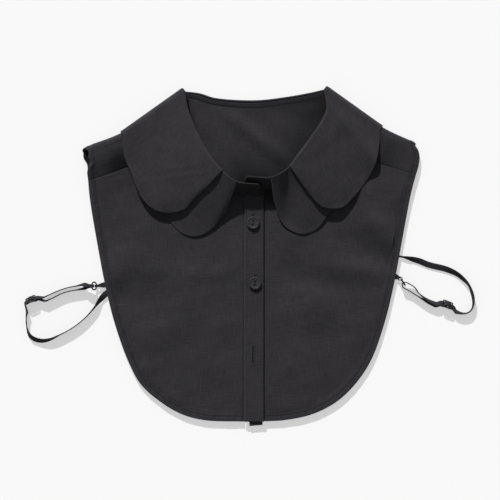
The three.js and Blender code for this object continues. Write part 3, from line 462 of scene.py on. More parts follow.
def back_circle():
    """The circle that follows the hidden back edge of the collar."""
    a = axis(RIGHT, RIGHT.fall)
    b = axis(LEFT, LEFT.fall)
    middle = (a + b) / 2
    deep = BACK_ROLL.at(0.5) + backward(0.5) * BACK_FALL
    sagitta = np.linalg.norm(middle - deep)
    radius = np.linalg.norm(a - b) ** 2 / (8 * sagitta) + sagitta / 2
    return deep + unit(middle - deep) * radius, radius + 4


BACK_EDGE = back_circle()


def back_height(x, y):
    """The height of the back, which lies on the collar's hidden part and then on the table."""
    centre, radius = BACK_EDGE
    away = np.hypot(x - centre[0], y - centre[1]) - radius
    return lerp(BACK_OVER_COLLAR, BACK_ON_TABLE, smoothstep(away, 0, 14))


def wrap(side, place, radius, angle, base):
    """Places turned about a shoulder's axis by an angle, from 90 above to -90 below."""
    a = np.radians(angle)
    point = place - side.inward * np.asarray(radius * np.cos(a))[..., None]
    point[..., 2] = base + radius * np.sin(a)
    return point


def curl(start, face, away, angle):
    """Places on the roll, turned back from its outer side by an angle."""
    a = np.radians(np.asarray(angle, float))[..., None]
    return start - face * ROLL_RADIUS * (1 - np.cos(a)) - away * ROLL_RADIUS * np.sin(a)


def front_stations(side, s):
    """Where the band and the collar's roll start, turn and end, at places along the roll."""
    s = np.asarray(s, float)
    away = outward(side, s)
    roll = side.roll.at(s)
    shoulder_seam = BACK_OVER_COLLAR + 2 * NECK_FOLD
    low = lerp(side.seam_start, NECK_SEAM_HEIGHT, smoothstep(s, 0.05, 0.3))
    foot = roll + away * lerp(STAND_SPREAD, BAND_WIDTH, smoothstep(s, 0.3, 1))[..., None]
    foot[..., 2] = lerp(low, shoulder_seam, smoothstep(s, 0.45, 1))
    return SimpleNamespace(
        start=roll + away * ROLL_RADIUS,
        face=np.broadcast_to(UP, roll.shape).copy(),
        away=away,
        turn=lerp(120, 180, smoothstep(s, 0.3, 0.95)),
        foot=foot,
    )


def fold_stations(side, angles):
    """The same for the fold over a shoulder."""
    angles = np.asarray(angles, float)
    base = BACK_OVER_COLLAR + NECK_FOLD
    face = -side.inward * np.cos(np.radians(angles))[:, None]
    face[:, 2] = np.sin(np.radians(angles))
    places = np.repeat(axis(side, ROLL_RADIUS)[None], len(angles), 0)
    feet = np.repeat(axis(side, BAND_WIDTH)[None], len(angles), 0)
    return SimpleNamespace(
        start=wrap(side, places, NECK_FOLD + LAYER_STEP, angles, base),
        face=face,
        away=np.broadcast_to(side.out, face.shape).copy(),
        turn=np.full(len(angles), 180.0),
        foot=wrap(side, feet, NECK_FOLD, angles, base),
    )


def back_stations(t):
    """The same for the back neck, where the collar lies under the back."""
    t = np.asarray(t, float)
    away = backward(t)
    roll = BACK_ROLL.at(t)
    start = roll + away * ROLL_RADIUS
    start[:, 2] = COLLAR_WALL / 2
    foot = roll + away * BAND_WIDTH
    foot[:, 2] = BACK_OVER_COLLAR
    return SimpleNamespace(
        start=start,
        face=np.broadcast_to(-UP, roll.shape).copy(),
        away=away,
        turn=np.full(len(t), 180.0),
        foot=foot,
    )


def joined(groups):
    """Station groups one after another."""
    return SimpleNamespace(**{
        key: np.concatenate([getattr(group, key) for group in groups])
        for key in vars(groups[0])
    })


def neck_edge(side, s):
    stations = front_stations(side, s)
    return stations.foot + stations.away * SEAM_GAP


def neck_seam(side, s):
    """Where a panel's edge meets the foot of the band, a little under it."""
    stations = front_stations(side, s)
    return stations.foot - stations.away * SEAM_BITE - UP * 0.25


def neck_crossing(side, x):
    """The place along the roll whose neck edge lies at an X."""
    low, high = 0.0, 0.5
    for _ in range(40):
        middle = (low + high) / 2
        if side.sign * (neck_edge(side, middle)[0] - x) < 0:
            low = middle
        else:
            high = middle
    return low


def forward_seam(side, t):
    """The seam where a front meets the part that folds forward, from the neck outwards."""
    inner = neck_edge(side, side.seam_along)
    outer = side.edge.at(SEAM_DROP / side.edge.length)
    outer[2] = FRONT_HEIGHT - 0.4
    return lerp(inner, outer, np.asarray(t, float)[..., None])


def patch(bottom, top, start, end, us, vs):
    """A grid of points between four sides, given at us and at vs."""
    u = us[:, None, None]
    v = vs[None, :, None]
    across = lerp(bottom[:, None], top[:, None], v)
    along = lerp(start[None], end[None], u)
    corners = lerp(lerp(bottom[0], bottom[-1], u), lerp(top[0], top[-1], u), v)
    return across + along - corners


def fold_height(folds, x, y):
    """The height of soft folds, from the rows of a table."""
    height = np.zeros(np.shape(x))
    for across, up, length, width, turn, rise in folds:
        a = math.radians(turn)
        dx = x - across * SHOULDER_SPAN / 2
        dy = y - up * FRONT_LENGTH
        p = (dx * math.cos(a) + dy * math.sin(a)) / (length * FRONT_LENGTH)
        q = (dy * math.cos(a) - dx * math.sin(a)) / (width * FRONT_LENGTH)
        height += rise * np.exp(-p * p - q * q)
    return height


def ripples(x, y, wavelength, seed, stretch=1.0, turn=0.0):
    """A smooth random field of about unit height, longer along its turn by the stretch."""
    waves = 28
    dice = np.random.default_rng(seed)
    a = math.radians(turn)
    p = (x * math.cos(a) + y * math.sin(a)) / stretch
    q = y * math.cos(a) - x * math.sin(a)
    total = np.zeros(np.shape(x))
    for _ in range(waves):
        heading = dice.uniform(0, 2 * math.pi)
        number = 2 * math.pi / (wavelength * dice.uniform(0.65, 1.6))
        phase = dice.uniform(0, 2 * math.pi)
        total += np.cos(number * (p * math.cos(heading) + q * math.sin(heading)) + phase)
    return total * math.sqrt(2 / waves)


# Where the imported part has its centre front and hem
low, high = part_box("right_placket")
SHIFT = np.array([(low[0] + high[0]) / 2 / MM, low[1] / MM - HEM_Y, 0])


def to_frame(points):
    return (np.asarray(points, float) + SHIFT) * MM


def in_scene(name, data):
    thing = bpy.data.objects.new(name, data)
    bpy.context.scene.collection.objects.link(thing)
    return thing


def new_object(name, vertices, faces, material):
    name = f"{name}_piece"
    mesh = bpy.data.meshes.new(name)
    mesh.from_pydata(to_frame(vertices).tolist(), [], faces)
    mesh.polygons.foreach_set("use_smooth", [True] * len(mesh.polygons))
    mesh.update()
    mesh.materials.append(material)
    piece = in_scene(name, mesh)
    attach(piece, "root")
    return piece


def add_weave(piece, values):
    """Gives each vertex its two places in the cloth and its painted shade."""
    attribute = piece.data.attributes.new("weave", "FLOAT_VECTOR", "POINT")
    attribute.data.foreach_set("vector", np.asarray(values, np.float32).ravel())


def grid_of(points, weave, painted_shade=None, lift=None, dropped=None):
    """A grid of middle points with its place in the cloth, its painted shade and top relief."""
    shape = points.shape[:2]
    return SimpleNamespace(
        points=points,
        weave=weave,
        painted_shade=np.zeros(shape) if painted_shade is None else painted_shade,
        lift=np.zeros(shape) if lift is None else lift,
        dropped=dropped,
    )


def merged(grids):
    """The points that grids share, with their weave, shade and relief, and the quads."""
    points = np.concatenate([g.points.reshape(-1, 3) for g in grids])
    values = np.concatenate([
        np.column_stack([g.weave.reshape(-1, 2), g.painted_shade.ravel(), g.lift.ravel()]) for g in grids
    ])
    _, first, number = np.unique(
        np.round(points * 500).astype(np.int64), axis=0, return_index=True, return_inverse=True
    )
    number = number.ravel()
    quads = []
    start = 0
    for g in grids:
        n, m = g.points.shape[:2]
        ids = number[start:start + n * m].reshape(n, m)
        start += n * m
        q = np.stack([ids[:-1, :-1], ids[1:, :-1], ids[1:, 1:], ids[:-1, 1:]], -1)
        quads.append(q.reshape(-1, 4) if g.dropped is None else q[~g.dropped])
    return points[first], values[first], np.concatenate(quads)


def rim_edges(quads, count):
    """The edges that only one quad has."""
    edges = np.concatenate([quads[:, [k, (k + 1) % 4]] for k in range(4)])
    forward = edges[:, 0] * count + edges[:, 1]
    return edges[~np.isin(forward, edges[:, 1] * count + edges[:, 0])]


def cloth(name, grids, wall):
    """A closed cloth with rounded rims made from grids that share points."""
    points, values, quads = merged(grids)
    count = len(points)
    a, b, c, d = (points[quads[:, k]] for k in range(4))
    face_normals = np.cross(c - a, d - b)
    normals = np.zeros_like(points)
    for k in range(4):
        np.add.at(normals, quads[:, k], face_normals)
    normals = unit(normals)
    rim = rim_edges(quads, count)
    sides = unit(np.cross(points[rim[:, 1]] - points[rim[:, 0]], normals[rim[:, 0]]))
    outer = np.zeros_like(points)
    for k in range(2):
        np.add.at(outer, rim[:, k], sides)
    outer = unit(outer) * (np.linalg.norm(outer, axis=1, keepdims=True) > 1e-6)
    half, lift = wall / 2, values[:, 3:]
    inset = outer * RIM_ROUNDING * wall
    top = points + normals * (half + lift) - inset
    bottom = points - normals * half - inset
    on_rim = np.unique(rim)
    rims = points[on_rim] + normals[on_rim] * lift[on_rim] / 2
    middle_of = np.full(count, -1)
    middle_of[on_rim] = 2 * count + np.arange(len(on_rim))
    e, f = rim[:, 0], rim[:, 1]
    faces = np.concatenate([
        quads,
        quads[:, ::-1] + count,
        np.stack([f, e, middle_of[e], middle_of[f]], -1),
        np.stack([middle_of[f], middle_of[e], e + count, f + count], -1),
    ])
    piece = new_object(name, np.concatenate([top, bottom, rims]), faces.tolist(), COTTON)
    values = values[:, :3]
    add_weave(piece, np.concatenate([values, values, values[on_rim]]))
    return piece


def surface_line(grid, wall, column_number=None, row_number=None):
    """A line of points on the top face of a grid, with its normals."""
    p = grid.points
    normals = unit(np.cross(np.gradient(p, axis=0), np.gradient(p, axis=1)))
    top = p + normals * (wall / 2 + grid.lift)[..., None]
    if row_number is not None:
        return top[:, row_number], normals[:, row_number]
    return top[column_number], normals[column_number]


def stitches(name, lines):
    """Short threads along lines of points with normals, as one piece."""
    places, ways, ups = [], [], []
    for line, faces in lines:
        run = run_of(line)
        if run[-1] < STITCH_PITCH:
            continue
        middles = np.arange(STITCH_PITCH, run[-1] - STITCH_PITCH / 2, STITCH_PITCH)
        p = read_line(middles, run, line)
        places.append(p)
        ways.append(unit(read_line(middles + 0.5, run, line) - p))
        ups.append(unit(read_line(middles, run, faces)))
    places, ways, ups = (np.concatenate(parts) for parts in (places, ways, ups))
    return threads(name, places, ways, ups, STITCH_LENGTH, THREAD_RADIUS)


def threads(name, places, ways, ups, length, radius):
    """Rounded threads at places, along ways, half sunk at their ends."""
    sides = 6
    ups = unit(ups - ways * np.sum(ups * ways, -1, keepdims=True))
    across = np.cross(ups, ways)
    shares = np.array([-0.5, -0.42, -0.2, 0.2, 0.42, 0.5])
    sizes = np.array([0.35, 0.85, 1, 1, 0.85, 0.35])
    lifts = np.array([-0.9, -0.25, 0.35, 0.35, -0.25, -0.9])
    angles = np.arange(sides) * 2 * math.pi / sides
    rings = (
        places[:, None, None]
        + ways[:, None, None] * (shares * length)[None, :, None, None]
        + ups[:, None, None] * (lifts * radius)[None, :, None, None]
        + across[:, None, None] * (sizes[:, None] * np.cos(angles) * radius)[None, ..., None]
        + ups[:, None, None] * (sizes[:, None] * np.sin(angles) * radius)[None, ..., None]
    )
    size = len(shares) * sides
    one = tube_faces(len(shares), sides)
    faces = [[k * size + v for v in face] for k in range(len(places)) for face in one]
    return new_object(name, rings.reshape(-1, 3), faces, THREAD)


# Materials
def material(name):
    m = bpy.data.materials.new(name)
    m.use_nodes = True
    nodes = m.node_tree.nodes
    return m, nodes, m.node_tree.links, nodes["Principled BSDF"]


def math_node(nodes, links, operation, a, b=None):
    node = nodes.new("ShaderNodeMath")
    node.operation = operation
    for socket, value in zip(node.inputs, (a, b)):
        if value is None:
            continue
        if isinstance(value, (int, float)):
            socket.default_value = value
        else:
            links.new(value, socket)
    return node.outputs[0]


def colour_by(nodes, links, colour, tone, shader):
    """Lets a tone scale the colour of a shader."""
    tint = nodes.new("ShaderNodeVectorMath")
    tint.operation = "SCALE"
    tint.inputs[0].default_value = colour
    links.new(tone, tint.inputs["Scale"])
    links.new(tint.outputs[0], shader.inputs["Base Color"])


def noise_node(nodes, links, x, y, step_x, step_y, detail=2.0):
    """Noise whose grains are step_x by step_y millimetres."""
    combine = nodes.new("ShaderNodeCombineXYZ")
    links.new(math_node(nodes, links, "DIVIDE", x, step_x), combine.inputs[0])
    links.new(math_node(nodes, links, "DIVIDE", y, step_y), combine.inputs[1])
    noise = nodes.new("ShaderNodeTexNoise")
    noise.inputs["Scale"].default_value = 1.0
    noise.inputs["Detail"].default_value = detail
    links.new(combine.outputs[0], noise.inputs["Vector"])
    return noise.outputs["Fac"]


def woven(name, colour, pitch, slub, rough, specular, sheen, relief, ribs=False):
    """A plain weave in the cloth's own millimetres, with slubs, soft mottling and painted shade.
    """
    m, nodes, links, shader = material(name)
    attribute = nodes.new("ShaderNodeAttribute")
    attribute.attribute_name = "weave"
    split = nodes.new("ShaderNodeSeparateXYZ")
    links.new(attribute.outputs["Vector"], split.inputs[0])
    x, y, shade = split.outputs

    def calc(operation, a, b=None):
        return math_node(nodes, links, operation, a, b)

    over = calc("SINE", calc("MULTIPLY", x, math.pi / pitch))
    under = calc("SINE", calc("MULTIPLY", y, math.pi / pitch))
    threads_up = calc("MULTIPLY", over, under)
    warp = noise_node(nodes, links, x, y, 0.8, 14.0)
    weft = noise_node(nodes, links, x, y, 14.0, 0.8)
    mottle = noise_node(nodes, links, x, y, 26.0, 26.0, 3.0)
    grain = noise_node(nodes, links, x, y, 1.3, 1.3)
    tone = calc("MULTIPLY", calc("SUBTRACT", calc("ADD", warp, weft), 1.0), slub)
    tone = calc("ADD", tone, calc("MULTIPLY", calc("SUBTRACT", mottle, 0.5), 0.5 * slub))
    tone = calc("ADD", tone, calc("MULTIPLY", calc("SUBTRACT", grain, 0.5), 0.7 * slub))
    tone = calc("ADD", calc("ADD", tone, calc("MULTIPLY", threads_up, 0.12)), 1.0)
    # The third value of the weave is painted shade: hems, seams, gaps and the shadows beside the
    # collar and band
    tone = calc("MULTIPLY", tone, calc("SUBTRACT", 1.0, shade))
    colour_by(nodes, links, colour, tone, shader)
    height = calc("ADD", threads_up, calc("MULTIPLY", calc("ADD", warp, weft), 1.6))
    if ribs:
        height = calc("ADD", over, calc("MULTIPLY", threads_up, 0.4))
    bump = nodes.new("ShaderNodeBump")
    bump.inputs["Strength"].default_value = 0.5
    bump.inputs["Distance"].default_value = relief * MM
    links.new(height, bump.inputs["Height"])
    links.new(bump.outputs[0], shader.inputs["Normal"])
    shader.inputs["Roughness"].default_value = rough
    shader.inputs["Specular IOR Level"].default_value = specular
    shader.inputs["Sheen Weight"].default_value = sheen
    shader.inputs["Sheen Roughness"].default_value = 0.45
    return m


def moulded(name, colour, rough, grain, specular, coat=0.0):
    """Smooth plastic or enamel with faint handling marks."""
    m, nodes, links, shader = material(name)
    coordinates = nodes.new("ShaderNodeTexCoord")
    noise = nodes.new("ShaderNodeTexNoise")
    noise.inputs["Scale"].default_value = grain
    noise.inputs["Detail"].default_value = 4.0
    links.new(coordinates.outputs["Object"], noise.inputs["Vector"])
    ramp = nodes.new("ShaderNodeMapRange")
    ramp.inputs["To Min"].default_value = 0.75 * rough
    ramp.inputs["To Max"].default_value = 1.3 * rough
    links.new(noise.outputs["Fac"], ramp.inputs["Value"])
    links.new(ramp.outputs["Result"], shader.inputs["Roughness"])
    tone = math_node(nodes, links, "MULTIPLY", noise.outputs["Fac"], 0.6)
    colour_by(nodes, links, colour, math_node(nodes, links, "ADD", tone, 0.7), shader)
    shader.inputs["Specular IOR Level"].default_value = specular
    shader.inputs["Coat Weight"].default_value = coat
    return m


COTTON = woven("cotton", (0.0232, 0.0214, 0.0254), 0.42, 0.95, 0.88, 0.22, 0.05, 0.09)
THREAD = woven("thread", (0.020, 0.019, 0.022), 0.3, 0.2, 0.7, 0.3, 0.05, 0.03)
ELASTIC = woven("elastic", (0.021, 0.0206, 0.0235), 0.55, 0.3, 0.85, 0.12, 0.0, 0.12, ribs=True)
BUTTON = moulded("button", (0.026, 0.025, 0.03), 0.55, 260.0, 0.12, coat=0.25)
PLASTIC = moulded("slider", (0.012, 0.012, 0.014), 0.45, 400.0, 0.15)
ENAMEL = moulded("enamel", (0.012, 0.012, 0.014), 0.45, 500.0, 0.15)

# Rows that crowd along a rim, as distances from it
RIM_ROWS = np.array([8.4, 7.4, 6.9, 6.5, 6.0, 5.6, 5.2, 4.8, 4.2, 3.3, 2.3, 1.4, 0.7, 0.0])
STITCH_ROW = int(np.argmin(np.abs(RIM_ROWS - HEM_STITCH)))


def crowded(dense, rest, stretch=None):
    """The same lines with rows even at first and crowded near their end, and the distances."""
    result = []
    for k, line in enumerate(dense):
        run = run_of(line)
        rims = RIM_ROWS * (1 if stretch is None else stretch[k])
        rims = rims * min(1, 0.8 * run[-1] / rims[0])
        places = np.concatenate([np.linspace(0, run[-1] - rims[0], rest + 1)[:-1], run[-1] - rims])
        result.append(read_line(places, run, line))
    return np.array(result), np.concatenate([np.full(rest, FAR), RIM_ROWS])


def flipped(grid):
    """The same grid turned over, by running its first axis backwards."""
    dropped = None if grid.dropped is None else grid.dropped[::-1]
    return SimpleNamespace(
        points=grid.points[::-1], weave=grid.weave[::-1], painted_shade=grid.painted_shade[::-1],
        lift=grid.lift[::-1], dropped=dropped,
    )


def area_of(grids):
    """The area of grids in square metres."""
    total = 0
    for g in grids:
        p = g.points
        cross = np.cross(p[1:, 1:] - p[:-1, :-1], p[:-1, 1:] - p[1:, :-1])
        total += np.linalg.norm(cross, axis=-1).sum() / 2
    return float(total * MM * MM)


def hem_relief(distance):
    """The raised hem and its stitched channel."""
    hem = 1 - smoothstep(distance, HEM_WIDTH - 0.5, HEM_WIDTH + 0.2)
    return 0.42 * hem - 0.3 * bell(distance, HEM_STITCH, 0.55)


def hem_puckers(distance, along, seed):
    return 0.16 * ripples(along, 0 * along, 9, seed) * bell(distance, 4.5, 4)


def hem_shade(distance):
    return 0.3 * bell(distance, HEM_WIDTH, 0.6) + 0.5 * bell(distance, HEM_STITCH, 0.6)


def small_folds(x, y, seed):
    """Handling creases: long soft ones and faint short ones."""
    wide = 0.6 * ripples(x, y, 60, 40 + seed, stretch=1.6, turn=-12)
    medium = 0.16 * ripples(x, y, 24, 50 + seed, stretch=2.0, turn=10)
    return wide + medium + 0.03 * ripples(x, y, 9, 60 + seed, stretch=1.4)


def front_panel(side, placket_x):
    """A front panel from its placket's edge to the armhole, up to the forward seam."""
    first = neck_crossing(side, placket_x)
    seam_share = SEAM_DROP / side.edge.length
    us, vs = steps(150), steps(260)
    bottom = neck_seam(side, lerp(first, side.seam_along, us))
    shares = lerp(1, seam_share, us)
    top = side.edge.at(shares)
    top[:, 2] = lerp(FRONT_HEM, FRONT_HEIGHT - 0.4, smoothstep(us, 0.8, 1))
    foot = top[0].copy()
    foot[0] = placket_x
    top = top + (1 - smoothstep(us, 0, 0.08))[:, None] * (foot - top[0])
    start = lerp(bottom[0], foot, vs[:, None])
    flat = lerp(FRONT_HEIGHT, FRONT_HEM, smoothstep(vs, 0.85, 1))
    start[:, 2] = lerp(bottom[0, 2], flat, smoothstep(vs, 0, 0.15))
    end = forward_seam(side, vs)
    end = end + (bottom[-1] - end[0]) * (1 - smoothstep(vs, 0, 0.05))[:, None]
    dense = patch(bottom, top, start, end, us, vs)
    tangent = side.edge.tangent(shares)
    ways = unit(dense[:, -1] - dense[:, -12])
    sine = np.abs(tangent[:, 0] * ways[:, 1] - tangent[:, 1] * ways[:, 0])
    points, distances = crowded(dense, 130, 1 / np.maximum(sine, 0.5))
    run = (1 - shares) * side.edge.length
    distance = np.broadcast_to(distances, points.shape[:2])
    along = np.broadcast_to(run[:, None], points.shape[:2])
    x, y = points[..., 0].copy(), points[..., 1].copy()
    calm = smoothstep(distance, 0, 18) * smoothstep(1 - us, 0, 0.08)[:, None]
    calm = calm * smoothstep(np.abs(x - placket_x), 0, 22)
    points[..., 2] += calm * (fold_height(FRONT_FOLDS, x, y) + small_folds(x, y, side.sign))
    points[..., 2] += hem_puckers(distance, along, 11 + side.sign)
    shade = hem_shade(distance) + side.seam_shade * bell(us[:, None], 1, 1 / 60)
    below_neck = 1 - smoothstep(bottom[:1, 1] - y, 6, 24)
    shade = shade + side.pocket_shade * below_neck * (1 - smoothstep(np.abs(x - placket_x), 6, 16))
    grid = grid_of(points, points[..., :2], np.clip(shade, 0, 0.9), hem_relief(distance))
    if side.sign > 0:
        grid = flipped(grid)
    piece = cloth(f"{side.name}_front", [grid], PANEL_WALL)
    sheet = (SHOULDER_SPAN / 2 * MM, FRONT_LENGTH * MM)
    line = surface_line(grid, PANEL_WALL, row_number=STITCH_ROW - len(RIM_ROWS))
    return piece, sheet, area_of([grid]), [line]


def shoulder_places(side):
    """Shares of a shoulder axis from the neck to the armhole, crowded there, and distances."""
    length = side.panel_axis.length
    run = np.concatenate([np.linspace(0, length - RIM_ROWS[0], 61)[:-1], length - RIM_ROWS])
    distances = np.concatenate([np.full(60, FAR), RIM_ROWS])
    return run / length, distances


def from_roll(curve, shares, x, y):
    """How far places lie from a part of the neck's roll."""
    away = np.full(np.shape(x), FAR)
    for place in curve.at(shares):
        away = np.minimum(away, np.hypot(x - place[0], y - place[1]))
    return away


def back_shade(x, y, distance):
    """The shade of the hem, in the open end of the right shoulder and beside the roll."""
    tip = RIGHT.panel_axis.by_row(1)
    mouth = 1 - smoothstep(np.hypot(x - tip[0] - 1.5, y - tip[1] + 3.5), 6, 12)
    shade = np.maximum(hem_shade(distance), 0.85 * mouth * smoothstep(distance, 0, 1.4))
    for curve, begin, finish, reach, depth in (
        (LEFT.roll, 0, 1, 20, 0.55),
        (RIGHT.roll, 0, 0.15, 9, 0.4),
        (BACK_ROLL, 0.5, 1, 13, 0.35),
        (BACK_ROLL, 0.8, 1, 22, 0.35),
        (RIGHT.roll, 0.72, 0.96, 3.5, 0.7),
        (LEFT.roll, 0.86, 0.97, 4, 0.4),
    ):
        away = from_roll(curve, lerp(begin, finish, steps(50)), x, y)
        shade = shade + depth * bell(away, 0, reach)
    return np.minimum(shade, 0.85)


def under_band(line, away):
    """A strip from a neck edge to a little under the band, painted dark as the shadow in that gap.
    """
    strip = np.stack([line - away * (SEAM_GAP + SEAM_BITE), line], 1)
    return grid_of(strip, strip[..., :2], np.full(strip.shape[:2], 0.85))


def back_panel():
    """The back from the neck to the hem, with the part of each shoulder that folds forward."""
    right_places, left_places = shoulder_places(RIGHT)[0], shoulder_places(LEFT)[0]
    across = steps(100)
    inner = (back_stations(across).foot + backward(across) * SEAM_GAP)[1:-1]
    top = np.concatenate([
        RIGHT.panel_axis.at(right_places[::-1]), inner, LEFT.panel_axis.at(left_places),
    ])
    us = run_of(top[:, :2])
    us = us / us[-1]
    lengths = [side.edge.length - UNDERARM_DROP for side in (RIGHT, LEFT)]
    run = us * sum(lengths)
    right_share = lerp(UNDERARM_DROP / RIGHT.edge.length, 1, np.minimum(run / lengths[0], 1))
    left_rest = np.clip(1 - (run - lengths[0]) / lengths[1], 0, 1)
    left_share = lerp(UNDERARM_DROP / LEFT.edge.length, 1, left_rest)
    on_right = (run < lengths[0])[:, None]
    hem = np.where(on_right, RIGHT.edge.at(right_share), LEFT.edge.at(left_share))
    hem[:, 0] -= np.sign(hem[:, 0])
    vs = steps(200)
    start = RIGHT.edge.at(UNDERARM_DROP / RIGHT.edge.length * vs)
    end = LEFT.edge.at(UNDERARM_DROP / LEFT.edge.length * vs)
    points, distances = crowded(patch(top, hem, start, end, us, vs), 80)
    distance = np.broadcast_to(distances, points.shape[:2])
    x, y = points[..., 0], points[..., 1]
    points[..., 2] = back_height(x, y)
    rows = np.arange(points.shape[1])[None]
    columns = np.arange(len(points))[:, None]
    sides = np.minimum(columns, len(points) - 1 - columns)
    calm = smoothstep(rows, 0, 3) * smoothstep(sides, 60, 80)
    inside = bell(y, FRONT_LENGTH, 60)
    creases = fold_height(BACK_FOLDS, x, y) + 0.16 * ripples(x, y, 34, 71, stretch=1.8, turn=-25)
    points[..., 2] += calm * inside * creases
    grid = grid_of(points, points[..., :2], back_shade(x, y, distance))
    line, faces = surface_line(grid, -PANEL_WALL, row_number=STITCH_ROW - len(RIM_ROWS))
    grids, seams, necks = [grid], [(line, -faces)], []
    for side in (RIGHT, LEFT):
        flap, flap_lines, neck_line = shoulder_flap(side)
        grids.append(flap)
        seams += flap_lines
        necks.append(neck_line)
    first = len(right_places) - 1
    inner = points[first:first + len(across), 0]
    away = backward(across)
    line = np.concatenate([necks[0][0][:-1], inner, necks[1][0][::-1][1:]])
    away = np.concatenate([necks[0][1][:-1], away, necks[1][1][::-1][1:]])
    grids.append(under_band(line, away))
    piece = cloth("back_panel", grids, PANEL_WALL)
    sheet = (SHOULDER_SPAN * MM, (CORNER_HEIGHT + SEAM_DROP) * MM)
    return piece, sheet, area_of(grids), seams


def shoulder_wraps(side, ts):
    """Lines over a shoulder's fold, from its under side to its upper side."""
    places = side.panel_axis.at(ts)
    base = back_height(places[:, 0], places[:, 1])
    radius = panel_radius(side, side.fold_start + ts * side.panel_axis.length)
    from_tip = (1 - ts) * side.panel_axis.length
    radius = radius * (1 - side.tip_round * (1 - smoothstep(from_tip, 0, 5)))
    pull = -side.sign * side.hollow * (1 - smoothstep(from_tip, 0, 16))
    wraps = []
    for angle in np.linspace(-90, 90, WRAP_STEPS + 1):
        pulled = places.copy()
        pulled[:, 0] += pull * float(smoothstep(angle, -80, 60))
        wraps.append(wrap(side, pulled, radius, np.full(len(ts), float(angle)), base + radius))
    return wraps


def flap_front(side, ts, fs, top, distances):
    """The cloth in front of a fold down to the forward seam, and its edge tucked under there."""
    seam = forward_seam(side, ts)
    start = neck_edge(side, lerp(1, side.seam_along, fs))
    start[0] = top[0]
    end = side.edge.at(fs * SEAM_DROP / side.edge.length)
    end[:, 0] += side.sign * 0.5 * np.sin(math.pi * fs)
    end[:, 0] -= side.sign * side.hollow * (1 - smoothstep(fs, 0.2, 0.75))
    end[:, 2] = lerp(top[-1, 2], seam[-1, 2], fs)
    flat = patch(top, seam, start, end, ts, fs)
    crown = (flat[:, :1, 2] - flat[:, -1:, 2]) * (fs - fs**2)[None]
    strength = smoothstep(ts, 0, 0.1) * lerp(side.flap_crown, 1, smoothstep(ts, 0.7, 1))
    flat[..., 2] += crown * strength[:, None]
    fade = smoothstep(ts, 0.1, 0.4) * lerp(1, 0.3, smoothstep(ts, 0.62, 1))
    sunk = side.seam_valley * fade
    flat[..., 2] -= sunk[:, None] * bell(fs, 1, 9 / SEAM_DROP)[None]
    x, y = flat[..., 0].copy(), flat[..., 1].copy()
    distance = np.broadcast_to(distances[:, None], flat.shape[:2])
    along = np.broadcast_to(fs[None] * SEAM_DROP, flat.shape[:2])
    free = smoothstep(fs, 0, 0.5) * smoothstep(1 - fs, 0, 0.25) * smoothstep(distance, 0, 20)
    free = free * smoothstep(ts, 0, 0.15)[:, None]
    flat[..., 2] += free * 0.3 * small_folds(x, y, 7)
    flat[..., 2] += smoothstep(fs, 0, 0.12) * fold_height(FLAP_FOLDS, x, y)
    flat[..., 2] += hem_puckers(distance, along, 31 + side.sign) * smoothstep(fs, 0.1, 0.4)
    tuck = [
        seam + side.inward * reach - UP * np.maximum(sink, sunk + 0.1)[:, None]
        for reach, sink in ((0.4, 0.4), (1.7, 1.25))
    ]
    return np.concatenate([flat, np.stack(tuck, 1)], 1)


def shoulder_flap(side):
    """The fold over a shoulder and the part in front of it, down to the forward seam."""
    ts, distances = shoulder_places(side)
    fs = steps(30)
    wraps = shoulder_wraps(side, ts)
    front = flap_front(side, ts, fs, wraps[-1], distances)
    points = np.concatenate([np.stack(wraps[:-1], 1), front], 1)[:, ::-1]
    away = front_stations(side, lerp(side.seam_along, 1, fs)).away
    away = np.concatenate([away[:1], away[:1], away, np.repeat(side.out[None], WRAP_STEPS, 0)])
    neck_line = (points[0].copy(), away)
    rows = np.arange(points.shape[1])
    distance = np.broadcast_to(distances[:, None], points.shape[:2])
    shade = hem_shade(distance) + 1.2 * side.seam_shade * bell(rows, 3, 1.2)
    beside_collar = 1 - smoothstep(ts, 0.66, 0.92)
    lower = np.concatenate([np.ones(2), smoothstep(fs[::-1], 0, 0.25), np.zeros(WRAP_STEPS)])
    shade = shade + side.flap_shade * beside_collar[:, None] * lower[None]
    run = row_runs(points)
    weave = np.stack([points[..., 0], points[:, -1:, 1] + run - run[:, -1:]], -1)
    grid = grid_of(points, weave, np.clip(shade, 0, 0.9), hem_relief(distance))
    if side.sign < 0:
        grid = flipped(grid)
    number = STITCH_ROW - len(RIM_ROWS) if side.sign > 0 else len(RIM_ROWS) - 1 - STITCH_ROW
    line, faces = surface_line(grid, PANEL_WALL, column_number=number)
    return grid, [(line[4:], faces[4:])], neck_line


def fall_lines(start, edge, inner):
    """Lines of points from starts to edges, whose drop is even or falls off by the inner share."""
    v = steps(FALL_STEPS)[None]
    lines = lerp(start[:, None], edge[:, None], v[..., None])
    inner = np.broadcast_to(np.asarray(inner, float), (len(start),))[:, None]
    drop = inner * v + (1 - inner) * v * v
    lines[..., 2] = lerp(start[:, None, 2], edge[:, None, 2], drop)
    return lines


def curl_lines(stations):
    return np.stack([
        curl(stations.start, stations.face, stations.away, stations.turn * share)
        for share in np.linspace(1, 0, 10)[:-1]
    ], 1)


def hanging_edge(side, rows, us, s, fall, lift):
    """A lobe's edge below places along the roll, from the rows of its table."""
    slant = np.radians(column(rows, 2, us))
    fall = fall * column(rows, 1, us)
    edge = side.roll.at(s)
    edge[:, 0] += side.sign * fall * np.cos(slant)
    edge[:, 1] -= fall * np.sin(slant)
    edge[:, 2] = FRONT_HEIGHT + PANEL_WALL / 2 + lift * column(rows, 3, us)
    return edge


